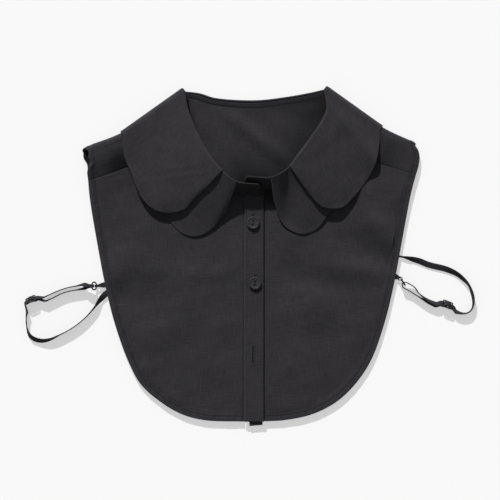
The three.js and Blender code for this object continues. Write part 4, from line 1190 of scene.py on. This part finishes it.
def lobe_part(side, us):
    """A lobe's stations and its fall lines."""
    s = lerp(side.lobe_from, 1, us)
    stations = front_stations(side, s)
    edge = hanging_edge(side, side.lobe, us, s, COLLAR_FALL, LOBE_LIFT)
    shoulder_top = BACK_OVER_COLLAR + 2 * panel_radius(side, side.fall) + LAYER_STEP
    edge[:, 2] = lerp(edge[:, 2], shoulder_top, smoothstep(us, 0.8, 1))
    inner = lerp(0.6, 1, smoothstep(us, 0.7, 1))
    return stations, fall_lines(stations.start, edge, inner)


def fold_part(side, angles):
    stations = fold_stations(side, angles)
    w = lerp(ROLL_RADIUS, side.fall, steps(FALL_STEPS))
    radius = panel_radius(side, w) + LAYER_STEP
    lines = np.stack([
        wrap(side, axis(side, w), radius, np.full(len(w), float(a)), COLLAR_WALL / 2 + radius)
        for a in angles
    ])
    return stations, lines


def back_part(ts):
    stations = back_stations(ts)
    extra = BACK_FALL - (RIGHT.fall + LEFT.fall) / 2
    fall = lerp(RIGHT.fall, LEFT.fall, ts) + extra * 4 * ts * (1 - ts)
    edge = stations.start + stations.away * (fall - ROLL_RADIUS)[:, None]
    return stations, fall_lines(stations.start, edge, 1)


def upper_collar():
    """The right lobe, the fold over that shoulder, the hidden back, the other fold and lobe."""
    lobe_us = steps(LOBE_STEPS)
    parts = [
        lobe_part(RIGHT, lobe_us),
        fold_part(RIGHT, FOLD_ANGLES),
        back_part(steps(70)),
        fold_part(LEFT, FOLD_ANGLES[::-1]),
        lobe_part(LEFT, lobe_us[::-1]),
    ]
    hidden = sum(len(lines) for _, lines in parts[1:4])
    curls = np.concatenate([curl_lines(stations) for stations, _ in parts])
    falls, distances = crowded(np.concatenate([lines for _, lines in parts]), 44)
    seen = smoothstep(1 - lobe_us, 0.02, 0.2)
    seen = np.concatenate([seen, np.zeros(hidden), seen[::-1]])[:, None]
    ends = lobe_us * 110
    from_end = np.concatenate([ends, np.full(hidden, FAR), ends[::-1]])[:, None]
    distance = np.minimum(distances[None], from_end)
    x, y = falls[..., 0].copy(), falls[..., 1].copy()
    rows = np.arange(falls.shape[1])[None]
    free = seen * smoothstep(rows, 2, 18)
    falls[..., 2] += free * (fold_height(LOBE_FOLDS, x, y) + lobe_waves(x, y, distance))
    points = np.concatenate([curls, falls], 1)
    lift = np.concatenate([np.zeros(curls.shape[:2]), turned_edge(distance)], 1)
    shade = np.concatenate([np.zeros(curls.shape[:2]), edge_shade(distance)], 1)
    return collar_piece("upper_collar", points, lift, shade, COLLAR_WALL)


def lobe_waves(x, y, distance):
    """Soft handling waves of a lobe, and the faint wobble of its pressed edge."""
    wide = 0.45 * ripples(x, y, 52, 81, stretch=1.5, turn=-15)
    medium = 0.12 * ripples(x, y, 20, 82, stretch=1.8, turn=-20)
    edge = 0.12 * ripples(x, y, 16, 83) * bell(distance, 0, 6)
    return wide + medium + edge + 0.02 * ripples(x, y, 8, 84)


def turned_edge(distance):
    """The ridge of the seam allowance that is turned in along an edge."""
    return 0.1 * (1 - smoothstep(distance, 3.6, 5.6))


def edge_shade(distance):
    return 0.04 * bell(distance, 4.9, 0.8)


def collar_piece(name, points, lift, shade, wall):
    """A lobed piece, whose cloth runs along its columns and across from one to the next."""
    run = row_runs(points)
    across = run_of(points[:, points.shape[1] // 2])
    weave = np.stack([np.broadcast_to(across[:, None], run.shape), run], -1)
    grid = grid_of(points, weave, shade, lift)
    piece = cloth(name, [grid], wall)
    return piece, grid


def petal(side):
    """A lower lobe, from under the upper collar's roll to its own edge."""
    us = steps(LOBE_STEPS)
    s = lerp(side.petal_from, side.petal_to, us)
    hidden = smoothstep(s, side.lobe_from - 0.02, side.lobe_from + 0.02)
    edge = hanging_edge(side, side.petal, us, s, PETAL_FALL, PETAL_LIFT)
    reach = lerp(CLOTH_GAP, 2.3 * ROLL_RADIUS, hidden)
    start = side.roll.at(s) + outward(side, s) * reach[:, None]
    start[:, 2] -= lerp(
        1.5 * ROLL_RADIUS - 0.8, COLLAR_WALL / 2 + PANEL_WALL / 2 + 0.65, hidden
    )
    inner = lerp(side.petal_start, 1.05, smoothstep(us, 0, 0.15))
    inner = inner + side.petal_dip * bell(us, 0.24, 0.11)
    points, distances = crowded(fall_lines(start, edge, inner), 48)
    distance = np.minimum(distances[None], (us * 70)[:, None])
    x, y = points[..., 0].copy(), points[..., 1].copy()
    rows = np.arange(points.shape[1])[None]
    shown = smoothstep(rows, 20, 50)
    points[..., 2] += 0.5 * shown * lobe_waves(x, y, distance)
    lift, shade = turned_edge(distance), edge_shade(distance)
    if side.sign > 0:
        points, lift, shade = points[::-1], lift[::-1], shade[::-1]
    return collar_piece(f"{side.name}_petal", points, lift, shade, PANEL_WALL)


def neck_band():
    """From its lapped end on the right front, round the back, to the left front."""
    stations = joined([
        front_stations(RIGHT, steps(170)),
        fold_stations(RIGHT, FOLD_ANGLES),
        back_stations(steps(80)),
        fold_stations(LEFT, FOLD_ANGLES[::-1]),
        front_stations(LEFT, 1 - steps(170)),
    ])
    turn = np.radians(stations.turn)[:, None]
    top = curl(stations.start, stations.face, stations.away, stations.turn)
    top = top - stations.face * SEAM_GAP * np.sin(turn) - stations.away * SEAM_GAP * np.cos(turn)
    vs = steps(BAND_STEPS)
    number = np.arange(len(top))
    from_end = np.minimum(number, number[::-1])[:, None, None]
    begin = 0.16 * (1 - smoothstep(from_end, 0, 5)) ** 2
    points = lerp(top[:, None], stations.foot[:, None], lerp(begin, 1, vs[None, :, None]))
    depth = np.linalg.norm(stations.foot - top, axis=1)[:, None] * vs[None]
    run = run_of(points[:, BAND_STEPS // 2])
    along = np.broadcast_to(run[:, None], depth.shape)
    weave = np.stack([along, depth], -1)
    edges = np.minimum(depth, depth[:, -1:] - depth)
    ends = np.minimum(along, run[-1] - along)
    front = 1 - smoothstep(ends, 14, 30)
    ridges = 0.4 * bell(edges, 1.3, 0.6) + 0.08 * ripples(along, depth * 3, 9, 91)
    creases = 0.16 * np.cos(depth * 2.2 + 0.5 * ripples(along, depth, 12, 92)) * front
    lift = (ridges + creases) * smoothstep(ends, 0, 2) * smoothstep(edges, 0, 0.6)
    shade = 0.8 * bell(depth, depth[:, -1:], 1.2) + 0.6 * front
    shade = shade + 0.05 * smoothstep(edges, 1.8, 2.8)
    shade = np.clip(shade, 0, 0.8) * smoothstep(depth, 0, 0.9)
    grid = grid_of(points, weave, shade, lift)
    piece = cloth("neck_band", [grid], PANEL_WALL)
    lines = [surface_line(grid, PANEL_WALL, row_number=k) for k in (3, 15)]
    lines = [(line[2:-2], faces[2:-2]) for line, faces in lines]
    sheet = (run[-1] * MM, float(depth[:, -1].mean()) * MM)
    return piece, sheet, lines


def placket(side, start, end, height, wall, tail, sinks, holes=()):
    """A placket between two X places, whose sides lie lower by their two sinks."""
    xs = np.linspace(start, end, 41)
    crossings = [neck_edge(side, neck_crossing(side, x)) for x in xs]
    vs = steps(210)
    points = np.empty((len(xs), len(vs), 3))
    for i, (x, top) in enumerate(zip(xs, crossings)):
        points[i, :, 0] = x
        points[i, :, 1] = lerp(top[1] + SEAM_GAP + SEAM_BITE, HEM_Y - tail, vs)
        points[i, :, 2] = lerp(top[2], height, smoothstep(vs, 0, 0.1))
    x, y = points[..., 0].copy(), points[..., 1].copy()
    begun = smoothstep(vs, 0, 0.1)[None]
    points[..., 2] -= begun * sinks[0] * (1 - smoothstep(x, start, start + 2.6))
    points[..., 2] -= sinks[1] * smoothstep(x, end - 3.2, end - 1.6)
    if tail:
        narrow = lerp(1, 0.66, smoothstep(points[..., 1], HEM_Y + 1.5, HEM_Y))
        points[..., 0] = lerp(start + 0.5 * (end - start), x, narrow)
        points[..., 1] += (1 - narrow) * 0.16 * x
    edges = np.minimum(x - start, end - x)
    lift = 0.1 * (1 - smoothstep(edges, 2.6, 3.4)) * smoothstep(edges, 0, 0.5)
    lift = lift + 0.12 * ripples(x, y * 0.6, 14, 95) * smoothstep(edges, 0, 4) * 0.5
    shade = 0.16 * bell(edges, 3.0, 0.35)
    dropped = np.zeros((len(xs) - 1, len(vs) - 1), bool)
    xc, yc = (x[:-1, :-1] + x[1:, 1:]) / 2, (y[:-1, :-1] + y[1:, 1:]) / 2
    for px, py in holes:
        inside = (np.abs(xc - px) < SLIT_WIDTH / 2) & (np.abs(yc - py) < BUTTONHOLE_LENGTH / 2)
        dropped |= inside
        beside = bell(np.abs(x - px), 1.1, 0.6)
        lift = lift + 0.22 * beside * (1 - smoothstep(np.abs(y - py), 8, 9.5))
    grid = flipped(grid_of(points, points[..., :2], shade, lift, dropped))
    piece = cloth(f"{side.name}_placket", [grid], wall)
    lines = [surface_line(grid, wall, column_number=k) for k in (5, len(xs) - 6)]
    lines = [(line[3:-2], faces[3:-2]) for line, faces in lines]
    return piece, ((end - start) * MM, (crossings[20][1] - HEM_Y + tail) * MM), lines


def hole_place(hole):
    up, across, _ = hole
    return across * PLACKET_WIDTH, up * FRONT_LENGTH


def buttonhole_threads():
    """The satin stitch along both lips of each buttonhole and the bars at its ends."""
    top = UPPER_PLACKET_HEIGHT + UPPER_PLACKET_WALL / 2 + 0.2
    places, ways = [], []
    for hole in BUTTONHOLES:
        x, y = hole_place(hole)
        for py in np.arange(-BUTTONHOLE_LENGTH / 2, BUTTONHOLE_LENGTH / 2, 0.42):
            for side in (-1, 1):
                places.append((x + side * 1.25, y + py, top))
                ways.append((1, 0.06 * math.sin(7 * py), 0))
        for end in (-1, 1):
            for row in range(5):
                py = end * (BUTTONHOLE_LENGTH / 2 + 0.2 + 0.4 * row)
                for side in (-1, 1):
                    places.append((x + side * 0.95, y + py, top + 0.1))
                    ways.append((1, 0.04 * side, 0))
    ways = unit(np.array(ways))
    ups = np.broadcast_to(UP, ways.shape)
    return threads("buttonhole_stitches", np.array(places), ways, ups, 1.9, 0.24)


def revolve(profile, count):
    """Rings of points about the Z axis."""
    profile = np.array(profile)
    angles = np.arange(count) * 2 * math.pi / count
    rings = np.stack([
        profile[:, :1] * np.cos(angles)[None],
        profile[:, :1] * np.sin(angles)[None],
        np.broadcast_to(profile[:, 1:2], (len(profile), count)),
    ], -1)
    return rings


def tube_faces(levels, count, base=0, closed=False):
    """Faces between rings of points, with flat ends unless the rings close on themselves."""
    k = np.arange(count)
    after = (k + 1) % count
    faces = []
    for i in range(levels if closed else levels - 1):
        j = (i + 1) % levels
        faces.append(np.stack([
            base + i * count + k, base + i * count + after,
            base + j * count + after, base + j * count + k,
        ], -1))
    faces = np.concatenate(faces).tolist()
    if not closed:
        faces.append((base + k[::-1]).tolist())
        faces.append((base + (levels - 1) * count + k).tolist())
    return faces


def button(name, place, turn):
    """A rimmed button with two sunk holes, and the shank of thread under it."""
    r = BUTTON_DIAMETER / 2
    h = BUTTON_HEIGHT
    under = [(0.02, 0), (0.35 * r, 0), (0.7 * r, 0.0), (0.84 * r, 0.1 * h), (0.95 * r, 0.27 * h)]
    rim = [(0.99 * r, 0.42 * h), (r, 0.6 * h), (0.985 * r, 0.76 * h), (0.94 * r, 0.9 * h),
           (0.88 * r, 0.98 * h), (0.82 * r, h), (0.77 * r, 0.97 * h), (0.72 * r, 0.89 * h),
           (0.68 * r, 0.82 * h), (0.63 * r, 0.79 * h)]
    dish = [(share * r, (0.76 + 0.02 * share) * h) for share in np.linspace(0.6, 0.005, 40)]
    rings = revolve(under + rim + dish, BUTTON_STEPS)
    flat = len(under) + len(rim)
    x, y = rings[flat:, :, 0], rings[flat:, :, 1]
    for end in (-1, 1):
        pit = np.hypot(x, y - end * 1.5)
        rings[flat:, :, 2] -= 1.8 * (1 - smoothstep(pit, 0.85, 1.1))
    a = math.radians(turn)
    turned = rings.copy()
    turned[..., 0] = rings[..., 0] * math.cos(a) - rings[..., 1] * math.sin(a)
    turned[..., 1] = rings[..., 0] * math.sin(a) + rings[..., 1] * math.cos(a)
    bottom = UPPER_PLACKET_HEIGHT + UPPER_PLACKET_WALL / 2 + CLOTH_GAP
    foot = LOWER_PLACKET_HEIGHT + LOWER_PLACKET_WALL / 2 + 0.05
    centre = np.array([place[0], place[1], bottom])
    vertices = turned.reshape(-1, 3) + centre
    faces = tube_faces(len(rings), BUTTON_STEPS)
    shank = revolve([(0.45, foot - bottom), (0.42, (foot - bottom) / 2), (0.45, 0.02)], 12)
    faces += tube_faces(len(shank), 12, len(vertices))
    vertices = np.concatenate([vertices, shank.reshape(-1, 3) + centre])
    piece = new_object(name, vertices, faces, BUTTON)
    rows = np.array([-0.3, 0, 0.3])
    middle = centre + UP * (0.77 * h)
    way = np.array([-math.sin(a), math.cos(a), 0])
    side = np.array([math.cos(a), math.sin(a), 0])
    places = middle + rows[:, None] * side * 0.8
    bars = threads(f"{name}_thread", places, np.broadcast_to(way, places.shape),
                   np.broadcast_to(UP, places.shape), 2.7, THREAD_RADIUS)
    return piece, bars


# Straps: ring, slider and rows give the way from the tab's anchor as shares of the reach, out
# to the side and down; a twist of 90 degrees stands the strap on its edge
STRAP_REACH = 78
STRAP_WIDTH = 6
STRAP_WALL = 1.0
TAB_WIDTH = 5.4
TAB_WALL = 0.6
RING_DIAMETER = 9
RING_WIRE = 1.4
RING_RADIUS = (RING_DIAMETER - RING_WIRE) / 2
RING_HEIGHT = RING_WIRE / 2 + TAB_WALL + 2 * CLOTH_GAP + 0.1
SLIDER_WIDTH = 9
SLIDER_WALL = 1.2
SLIDER_BAR = 1.3
SLIDER_SLOT = 3.5
SLIDER_HALF = 1.5 * SLIDER_BAR + SLIDER_SLOT
SLIDER_OFFSET = SLIDER_WALL / 2 + CLOTH_GAP + STRAP_WALL / 2
STRAP_LAYER = STRAP_WALL + CLOTH_GAP
# run: out, down, twist, lift in millimetres
# pair: out, down, twist, spread of the two layers, width as a share, lift
RIGHT_STRAP = SimpleNamespace(
    side=RIGHT,
    start_width=1,
    tab_drop=0.5,
    standing=False,
    ring_tilt=54.5,
    ring=(0.14, 0.013),
    slider=(0.941, 0.205),
    heading=25,
    twist=-55,
    run=[
        (-0.06, 0.085, 0, 1.2), (-0.015, 0.11, 0, 1.2), (0.042, 0.165, -30, 0.7),
        (0.124, 0.273, -80, 0), (0.235, 0.401, -90, 0), (0.363, 0.512, -90, 0),
        (0.491, 0.594, -90, 0), (0.6, 0.649, -85, 0), (0.692, 0.694, -70, 0),
        (0.801, 0.717, -50, 0), (0.894, 0.699, -45, 0), (0.958, 0.655, -55, 0),
        (0.992, 0.585, -75, 0), (1.009, 0.492, -88, 0), (1.01, 0.41, -82, 0),
        (1, 0.35, -68, 0),
    ],
    pair=[
        (0.774, 0.182, -80, 2, 1, 0), (0.685, 0.144, -90, 2.2, 1, 0),
        (0.582, 0.095, -90, 1.9, 1, 0), (0.472, 0.059, -90, 1.9, 1, 0),
        (0.363, 0.038, -88, 2, 1, 0), (0.271, 0.019, -60, 2.2, 0.85, 1),
        (0.225, 0.015, -20, 2, 0.65, 3),
    ],
)
LEFT_STRAP = SimpleNamespace(
    side=LEFT,
    start_width=0.3,
    tab_drop=0.47,
    standing=True,
    ring_tilt=90,
    ring=(0.096, 0.068),
    slider=(0.658, 0.371),
    heading=21,
    twist=40,
    run=[
        (-0.06, -0.275, 20, 1.2), (0.01, -0.268, 40, 1), (0.075, -0.257, 60, 0.3),
        (0.135, -0.245, 55, 0), (0.2, -0.229, 35, 0), (0.31, -0.2, 15, 0),
        (0.423, -0.154, 8, 0), (0.54, -0.125, 8, 0), (0.641, -0.1, 18, 0),
        (0.782, -0.038, 45, 0), (0.878, 0.038, 60, 0), (0.944, 0.115, 78, 0),
        (0.986, 0.226, 70, 0), (0.999, 0.305, 75, 0), (0.99, 0.39, 86, 0),
        (0.953, 0.445, 90, 0), (0.89, 0.47, 85, 0), (0.82, 0.463, 68, 0),
        (0.775, 0.448, 52, 0),
    ],
    pair=[
        (0.52, 0.357, 50, 0.9, 1, 0), (0.431, 0.322, 65, 0.9, 1, 0),
        (0.346, 0.269, 80, 1.1, 1, 0), (0.276, 0.217, 90, 1.8, 0.9, 0.3),
        (0.218, 0.162, 90, 3, 0.75, 1),
    ],
)


def rest_height(twist, width, half_stack):
    """The height of a strap's middle when its lower edge touches the table."""
    a = math.radians(twist)
    return width / 2 * abs(math.sin(a)) + half_stack * abs(math.cos(a)) + 0.12


def strap_frame(heading, twist):
    """The width and face directions of a strap that heads one way with a twist."""
    a = math.radians(twist)
    level = unit(np.cross(UP, heading))
    across = level * math.cos(a) + UP * math.sin(a)
    return across, unit(np.cross(heading, across))


def along_rows(rows, anchor, sign):
    """Places, headings and row numbers along a strap's table, two steps a row."""
    points = [
        (anchor[0] + sign * row[0] * STRAP_REACH, anchor[1] - row[1] * STRAP_REACH, 0)
        for row in rows
    ]
    curve = Curve(points)
    shares = np.linspace(0, 1, 2 * len(rows) - 1)
    ahead = curve.by_row(np.minimum(shares + 0.004, 1))
    behind = curve.by_row(np.maximum(shares - 0.004, 0))
    numbered = [(k,) + tuple(row) for k, row in enumerate(rows)]
    return curve.by_row(shares), unit(ahead - behind), shares * (len(rows) - 1), numbered


def ribbon(name, sections, wall):
    """A closed ribbon through sections of place, width way and width, and its length."""
    fine = 7
    places = np.array([s[0] for s in sections])
    curve = Curve(places, count=fine * len(sections) * 6)
    rows = np.linspace(0, 1, fine * (len(sections) - 1) + 1)
    number = np.linspace(0, 1, len(sections))
    p = curve.by_row(rows)
    ways = read_line(rows, number, np.array([s[1] for s in sections]))
    widths = np.interp(rows, number, [s[2] for s in sections])
    tangent = unit(np.gradient(p, axis=0))
    thick = unit(np.cross(tangent, ways))
    flat = np.cross(thick, tangent)
    corner = 0.3
    outline = []
    for cx, cz, begin in ((1, -1, -90), (1, 1, 0), (-1, 1, 90), (-1, -1, 180)):
        for a in np.radians(np.linspace(begin, begin + 90, 4)):
            outline.append((cx, cz, math.cos(a), math.sin(a)))
    outline = np.array(outline)
    half = widths[:, None] / 2
    x = outline[None, :, 0] * (half - corner) + outline[None, :, 2] * corner
    z = outline[:, 1] * (wall / 2 - corner) + outline[:, 3] * corner
    rings = p[:, None] + flat[:, None] * x[..., None] + thick[:, None] * z[None, :, None]
    faces = tube_faces(len(p), len(outline))
    piece = new_object(name, rings.reshape(-1, 3), faces, ELASTIC)
    run = run_of(p)
    along = np.broadcast_to(run[:, None], x.shape)
    add_weave(piece, np.stack([x, along, 0 * x], -1))
    return piece, float(run[-1])


def place_of(side, anchor, shares):
    return np.array([
        anchor[0] + side.sign * shares[0] * STRAP_REACH, anchor[1] - shares[1] * STRAP_REACH, 0,
    ])


def ring_places(strap, anchor):
    """The ring's centre, its far and near points from the garment, and its axis."""
    sign = strap.side.sign
    lean = math.radians(strap.ring_tilt)
    centre = place_of(strap.side, anchor, strap.ring)
    if strap.standing:
        centre[2] = RING_DIAMETER / 2 + 0.4
        arm = np.array([0.56 * sign, -0.83, 0]) * RING_RADIUS
    else:
        centre[2] = RING_HEIGHT + RING_RADIUS * math.sin(lean)
        arm = np.array([sign * math.cos(lean), 0, math.sin(lean)]) * RING_RADIUS
    x = unit(arm)
    y = UP if strap.standing else np.array([0.0, 1, 0])
    return centre, centre + arm, centre - arm, x, y


def ring_piece(name, centre, x, y):
    """A round wire bent into a ring, with a fine seam where its ends meet."""
    z = np.cross(x, y)
    around = np.arange(96) * 2 * math.pi / 96
    section = np.arange(20) * 2 * math.pi / 20
    wire = RING_WIRE / 2 * (1 - 0.12 * bell(around, 4, 0.04))
    spoke = np.cos(around)[:, None] * x + np.sin(around)[:, None] * y
    rings = (
        centre
        + spoke[:, None] * (RING_RADIUS + wire[:, None] * np.cos(section))[..., None]
        + z * (wire[:, None] * np.sin(section))[..., None]
    )
    faces = [face[::-1] for face in tube_faces(96, 20, closed=True)]
    return new_object(name, rings.reshape(-1, 3), faces, ENAMEL)


def slider_piece(name, centre, heading, across, face):
    """A flat buckle with two slots and a middle bar, with softened edges."""
    corner = SLIDER_WIDTH / 2 - SLIDER_BAR / 2
    quarter = [(SLIDER_HALF, corner), (corner, SLIDER_WIDTH / 2)]
    outline = []
    for a, b in ((-1, -1), (1, -1), (1, 1), (-1, 1)):
        outline += [(a * x, b * y) for x, y in quarter[::a * b]]
    bevel = 0.32
    slot_half = STRAP_WIDTH / 2 + CLOTH_GAP
    loops = [outline]
    for end in (-1, 1):
        middle = end * (SLIDER_BAR + SLIDER_SLOT) / 2
        loops.append([
            (middle + a * SLIDER_SLOT / 2, b * slot_half)
            for a, b in ((-1, -1), (1, -1), (1, 1), (-1, 1))
        ])
    shape = bpy.data.curves.new(name, "CURVE")
    shape.dimensions = "2D"
    shape.fill_mode = "BOTH"
    shape.extrude = SLIDER_WALL / 2 - bevel
    shape.bevel_depth = bevel
    shape.bevel_resolution = 3
    shape.offset = -bevel
    for loop in loops:
        rounded = round_corners(loop, 0.9 if loop is outline else 0.5)
        spline = shape.splines.new("POLY")
        spline.points.add(len(rounded) - 1)
        for point, (px, py) in zip(spline.points, rounded):
            point.co = (px, py, 0, 1)
        spline.use_cyclic_u = True
    holder = in_scene(f"{name}_outline", shape)
    graph = bpy.context.evaluated_depsgraph_get()
    flat = holder.evaluated_get(graph).to_mesh()
    found = np.array([v.co[:] for v in flat.vertices])
    faces = [list(polygon.vertices) for polygon in flat.polygons]
    bpy.data.objects.remove(holder)
    _, first, number = np.unique(
        np.round(found, 4), axis=0, return_index=True, return_inverse=True
    )
    number = number.ravel()
    points = found[first]
    faces = [[int(number[v]) for v in f] for f in faces]
    faces = [f for f in faces if len(set(f)) == len(f)]
    placed = centre + points[:, :1] * heading + points[:, 1:2] * across + points[:, 2:] * face
    return new_object(name, placed, faces, PLASTIC)


def round_corners(loop, radius):
    """A loop of points with each corner cut by a small arc."""
    result = []
    size = len(loop)
    for i in range(size):
        p = np.array(loop[i], float)
        before = np.array(loop[i - 1], float) - p
        after = np.array(loop[(i + 1) % size], float) - p
        cut = min(radius, 0.45 * np.linalg.norm(before), 0.45 * np.linalg.norm(after))
        a, b = p + unit(before) * cut, p + unit(after) * cut
        for t in steps(4):
            result.append((1 - t) ** 2 * a + 2 * t * (1 - t) * p + t * t * b)
    return result


def turned_back(p, above, ahead, level, width):
    """Sections of a ribbon round a half turn, from its layer above to the one below."""
    return [
        (p + above * math.cos(math.pi * t) + ahead * math.sin(math.pi * t), level, width)
        for t in steps(6)[1:-1]
    ]


def strap_set(strap):
    """The strap, its slider, its ring and the tab that holds the ring, of one side."""
    side = strap.side
    edge = side.edge.at(steps(400))
    anchor = edge[np.argmin(np.abs(edge[:, 1] - FRONT_LENGTH * (1 - strap.tab_drop)))].copy()
    ring_centre, far, near, ring_x, ring_y = ring_places(strap, anchor)
    ring = ring_piece(f"{side.name}_ring", ring_centre, ring_x, ring_y)
    slider, centre, heading, across, face = slider_set(strap, anchor)
    elastic, length = strap_band(strap, anchor, far, centre, heading, across, face)
    return elastic, slider, ring, ring_tab(strap, anchor, near), length


def slider_set(strap, anchor):
    """The slider, its centre, and the ways along, across and above it."""
    side = strap.side
    a = math.radians(strap.heading)
    heading = np.array([-side.sign * math.cos(a), math.sin(a), 0])
    across, face = strap_frame(heading, strap.twist)
    stack = place_of(side, anchor, strap.slider)
    stack[2] = rest_height(strap.twist, STRAP_WIDTH, STRAP_LAYER / 2 + 0.5)
    centre = stack + face * (SLIDER_OFFSET + STRAP_LAYER / 2)
    slider = slider_piece(f"{side.name}_slider", centre, heading, across, face)
    return slider, centre, heading, across, face


def strap_band(strap, anchor, far, centre, heading, across, face):
    """The strap from the hem through its slider, round the ring and back, and its length."""
    side = strap.side
    half_length, offset = SLIDER_HALF, SLIDER_OFFSET

    def at_slider(along, above):
        return (centre + heading * along + face * above, across, STRAP_WIDTH)

    sections = []
    places, ways, rows, numbered = along_rows(strap.run, anchor, side.sign)
    for p, way, row in zip(places, ways, rows):
        twist = float(column(numbered, 3, row))
        lift = float(column(numbered, 4, row))
        width = STRAP_WIDTH * lerp(strap.start_width, 1, float(smoothstep(row, 1, 5)))
        p = p.copy()
        p[2] = rest_height(twist, width, STRAP_WALL / 2) + lift
        sections.append((p, strap_frame(way, twist)[0], width))
    sections += [
        at_slider(-half_length - 1.3, -offset - CLOTH_GAP),
        at_slider(-half_length + SLIDER_BAR, -offset),
        at_slider(-SLIDER_BAR / 2, offset),
        at_slider(SLIDER_BAR / 2, offset),
        at_slider(half_length - SLIDER_BAR, -offset),
        at_slider(half_length + 0.8, -offset),
    ]
    last_row = (
        abs(far[0] - anchor[0]) / STRAP_REACH, (anchor[1] - far[1]) / STRAP_REACH,
        90 if strap.standing else 0, 3 if strap.standing else 1.9, 0.55, 0,
    )
    places, ways, rows, numbered = along_rows(strap.pair + [last_row], anchor, side.sign)
    above, below = [], []
    for i, (p, way, row) in enumerate(zip(places, ways, rows)):
        twist, spread, width, lift = (float(column(numbered, k, row)) for k in (3, 4, 5, 6))
        width *= STRAP_WIDTH
        level, normal = strap_frame(way, twist)
        rest = rest_height(twist, width, spread + STRAP_WALL / 2) + lift
        p = p.copy()
        p[2] = lerp(rest, far[2], float(smoothstep(i / (len(places) - 1), 0.75, 1)))
        above.append((p + normal * spread, level, width))
        below.append((p - normal * spread, level, width))
    bend = turned_back(p, normal * spread, way * spread, level, width)
    back_end = [
        at_slider(half_length + 0.8, -offset - STRAP_LAYER),
        at_slider(half_length - SLIDER_BAR, -offset - STRAP_LAYER),
        at_slider(SLIDER_BAR / 2 + 0.4, -offset),
        at_slider(-SLIDER_BAR / 2, -offset),
    ]
    sections += above + bend + below[::-1] + back_end
    return ribbon(f"{side.name}_strap", sections, STRAP_WALL)


def ring_tab(strap, anchor, near):
    """The short loop from the hem round the near side of the ring."""
    side = strap.side
    tab_height = PANEL_WALL + HEM_SPACE / 2
    tab_twist = 90 if strap.standing else 0
    way_curve = Curve([
        anchor + np.array([-side.sign * 4, 0, tab_height]),
        anchor + np.array([side.sign * 0.6, 0, tab_height]),
        near,
    ])
    uppers, lowers = [], []
    for t in steps(8):
        p = way_curve.at(t)
        way = way_curve.tangent(t, 0.01)
        way[2] = 0
        way = unit(way)
        turn = float(smoothstep(t, 0.45, 1))
        level, normal = strap_frame(way, tab_twist * turn)
        closed = TAB_WALL / 2 + 0.15
        opened = RING_WIRE / 2 + CLOTH_GAP + TAB_WALL / 2 + 0.35
        spread = lerp(closed, opened, turn)
        width = lerp(TAB_WIDTH, 2.6, float(smoothstep(t, 0.4, 0.9)))
        uppers.append((p + normal * spread, level, width))
        lowers.append((p - normal * spread, level, width))
    bend = turned_back(p, normal * spread, way * spread, level, width)
    return ribbon(f"{side.name}_ring_tab", uppers + bend + lowers[::-1], TAB_WALL)[0]


# The garment
back, back_flat, back_area, back_seams = back_panel()
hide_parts("back_panel")
half = PLACKET_WIDTH / 2
right_front, right_flat, right_area, right_seams = front_panel(RIGHT, -half - 0.5)
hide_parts("right_front")
left_front, left_flat, left_area, left_seams = front_panel(LEFT, half + 0.7)
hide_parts("left_front")
holes = [hole_place(hole) for hole in BUTTONHOLES]
upper, upper_flat, upper_seams = placket(
    RIGHT, -half - 0.3, half, UPPER_PLACKET_HEIGHT, UPPER_PLACKET_WALL, 0, (0.9, 0), holes
)
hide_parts("right_placket")
lower, lower_flat, _ = placket(
    LEFT, 2 - half, half + 2, LOWER_PLACKET_HEIGHT, LOWER_PLACKET_WALL, PLACKET_TAIL, (0, 1.4)
)
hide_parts("left_placket")
band, band_flat, band_seams = neck_band()
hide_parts("neck_band")
collar, collar_grid = upper_collar()
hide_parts("upper_collar")
for each in (RIGHT, LEFT):
    piece, petal_grid = petal(each)
    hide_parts(f"{each.name}_petal")
buttonhole_threads()
for number, hole in enumerate([h for h in BUTTONHOLES if h[2]], 1):
    disc, bars = button(f"button_{number}", hole_place(hole), (-8, -5)[number - 1])
    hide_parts(f"button_{number}")
for strap in (RIGHT_STRAP, LEFT_STRAP):
    name = strap.side.name
    elastic, slider, ring, tab, length = strap_set(strap)
    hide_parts(f"{name}_strap")
    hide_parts(f"{name}_slider")
    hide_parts(f"{name}_ring")
    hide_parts(f"{name}_ring_tab")
    print(name, "strap length", round(length, 1))
stitches("front_stitches", right_seams + left_seams)
stitches("back_stitches", back_seams)
stitches("placket_stitches", upper_seams)
stitches("band_stitches", band_seams)

# The stage: a plain pale floor just under the lowest stitches, one key light from the
# picture's top and a little from its left, and an even fill
bpy.ops.mesh.primitive_plane_add(size=6, location=(0, 0, -0.0004))
floor = bpy.context.object
floor.name = "floor"
paint, *_, shader = material("floor_paint")
shader.inputs["Base Color"].default_value = (0.42, 0.42, 0.42, 1)
shader.inputs["Roughness"].default_value = 0.9
shader.inputs["Emission Color"].default_value = (1, 1, 1, 1)
shader.inputs["Emission Strength"].default_value = 0.5
floor.data.materials.append(paint)

key = bpy.data.lights.new("key", "SUN")
key.energy = 4.6
key.angle = math.radians(2.5)
key_light = in_scene("key", key)
elevation = math.radians(30)
towards = Vector((-0.27 * math.cos(elevation), 0.963 * math.cos(elevation), math.sin(elevation)))
key_light.rotation_euler = towards.to_track_quat("Z", "Y").to_euler()
world = bpy.data.worlds.new("fill")
world.use_nodes = True
world.node_tree.nodes["Background"].inputs["Color"].default_value = (1, 1, 1, 1)
world.node_tree.nodes["Background"].inputs["Strength"].default_value = 0.3
bpy.context.scene.world = world
bpy.context.scene.view_settings.view_transform = "Standard"

# The camera looks straight down, so that one millimetre is one pixel of the picture
lens = bpy.data.cameras.new("camera")
lens.lens = 180
lens.sensor_width = 36
camera = in_scene("camera", lens)
camera.location = (0.000656, 0.00594, 2.5)
camera.rotation_euler = (0, 0, 0)
bpy.context.scene.camera = camera
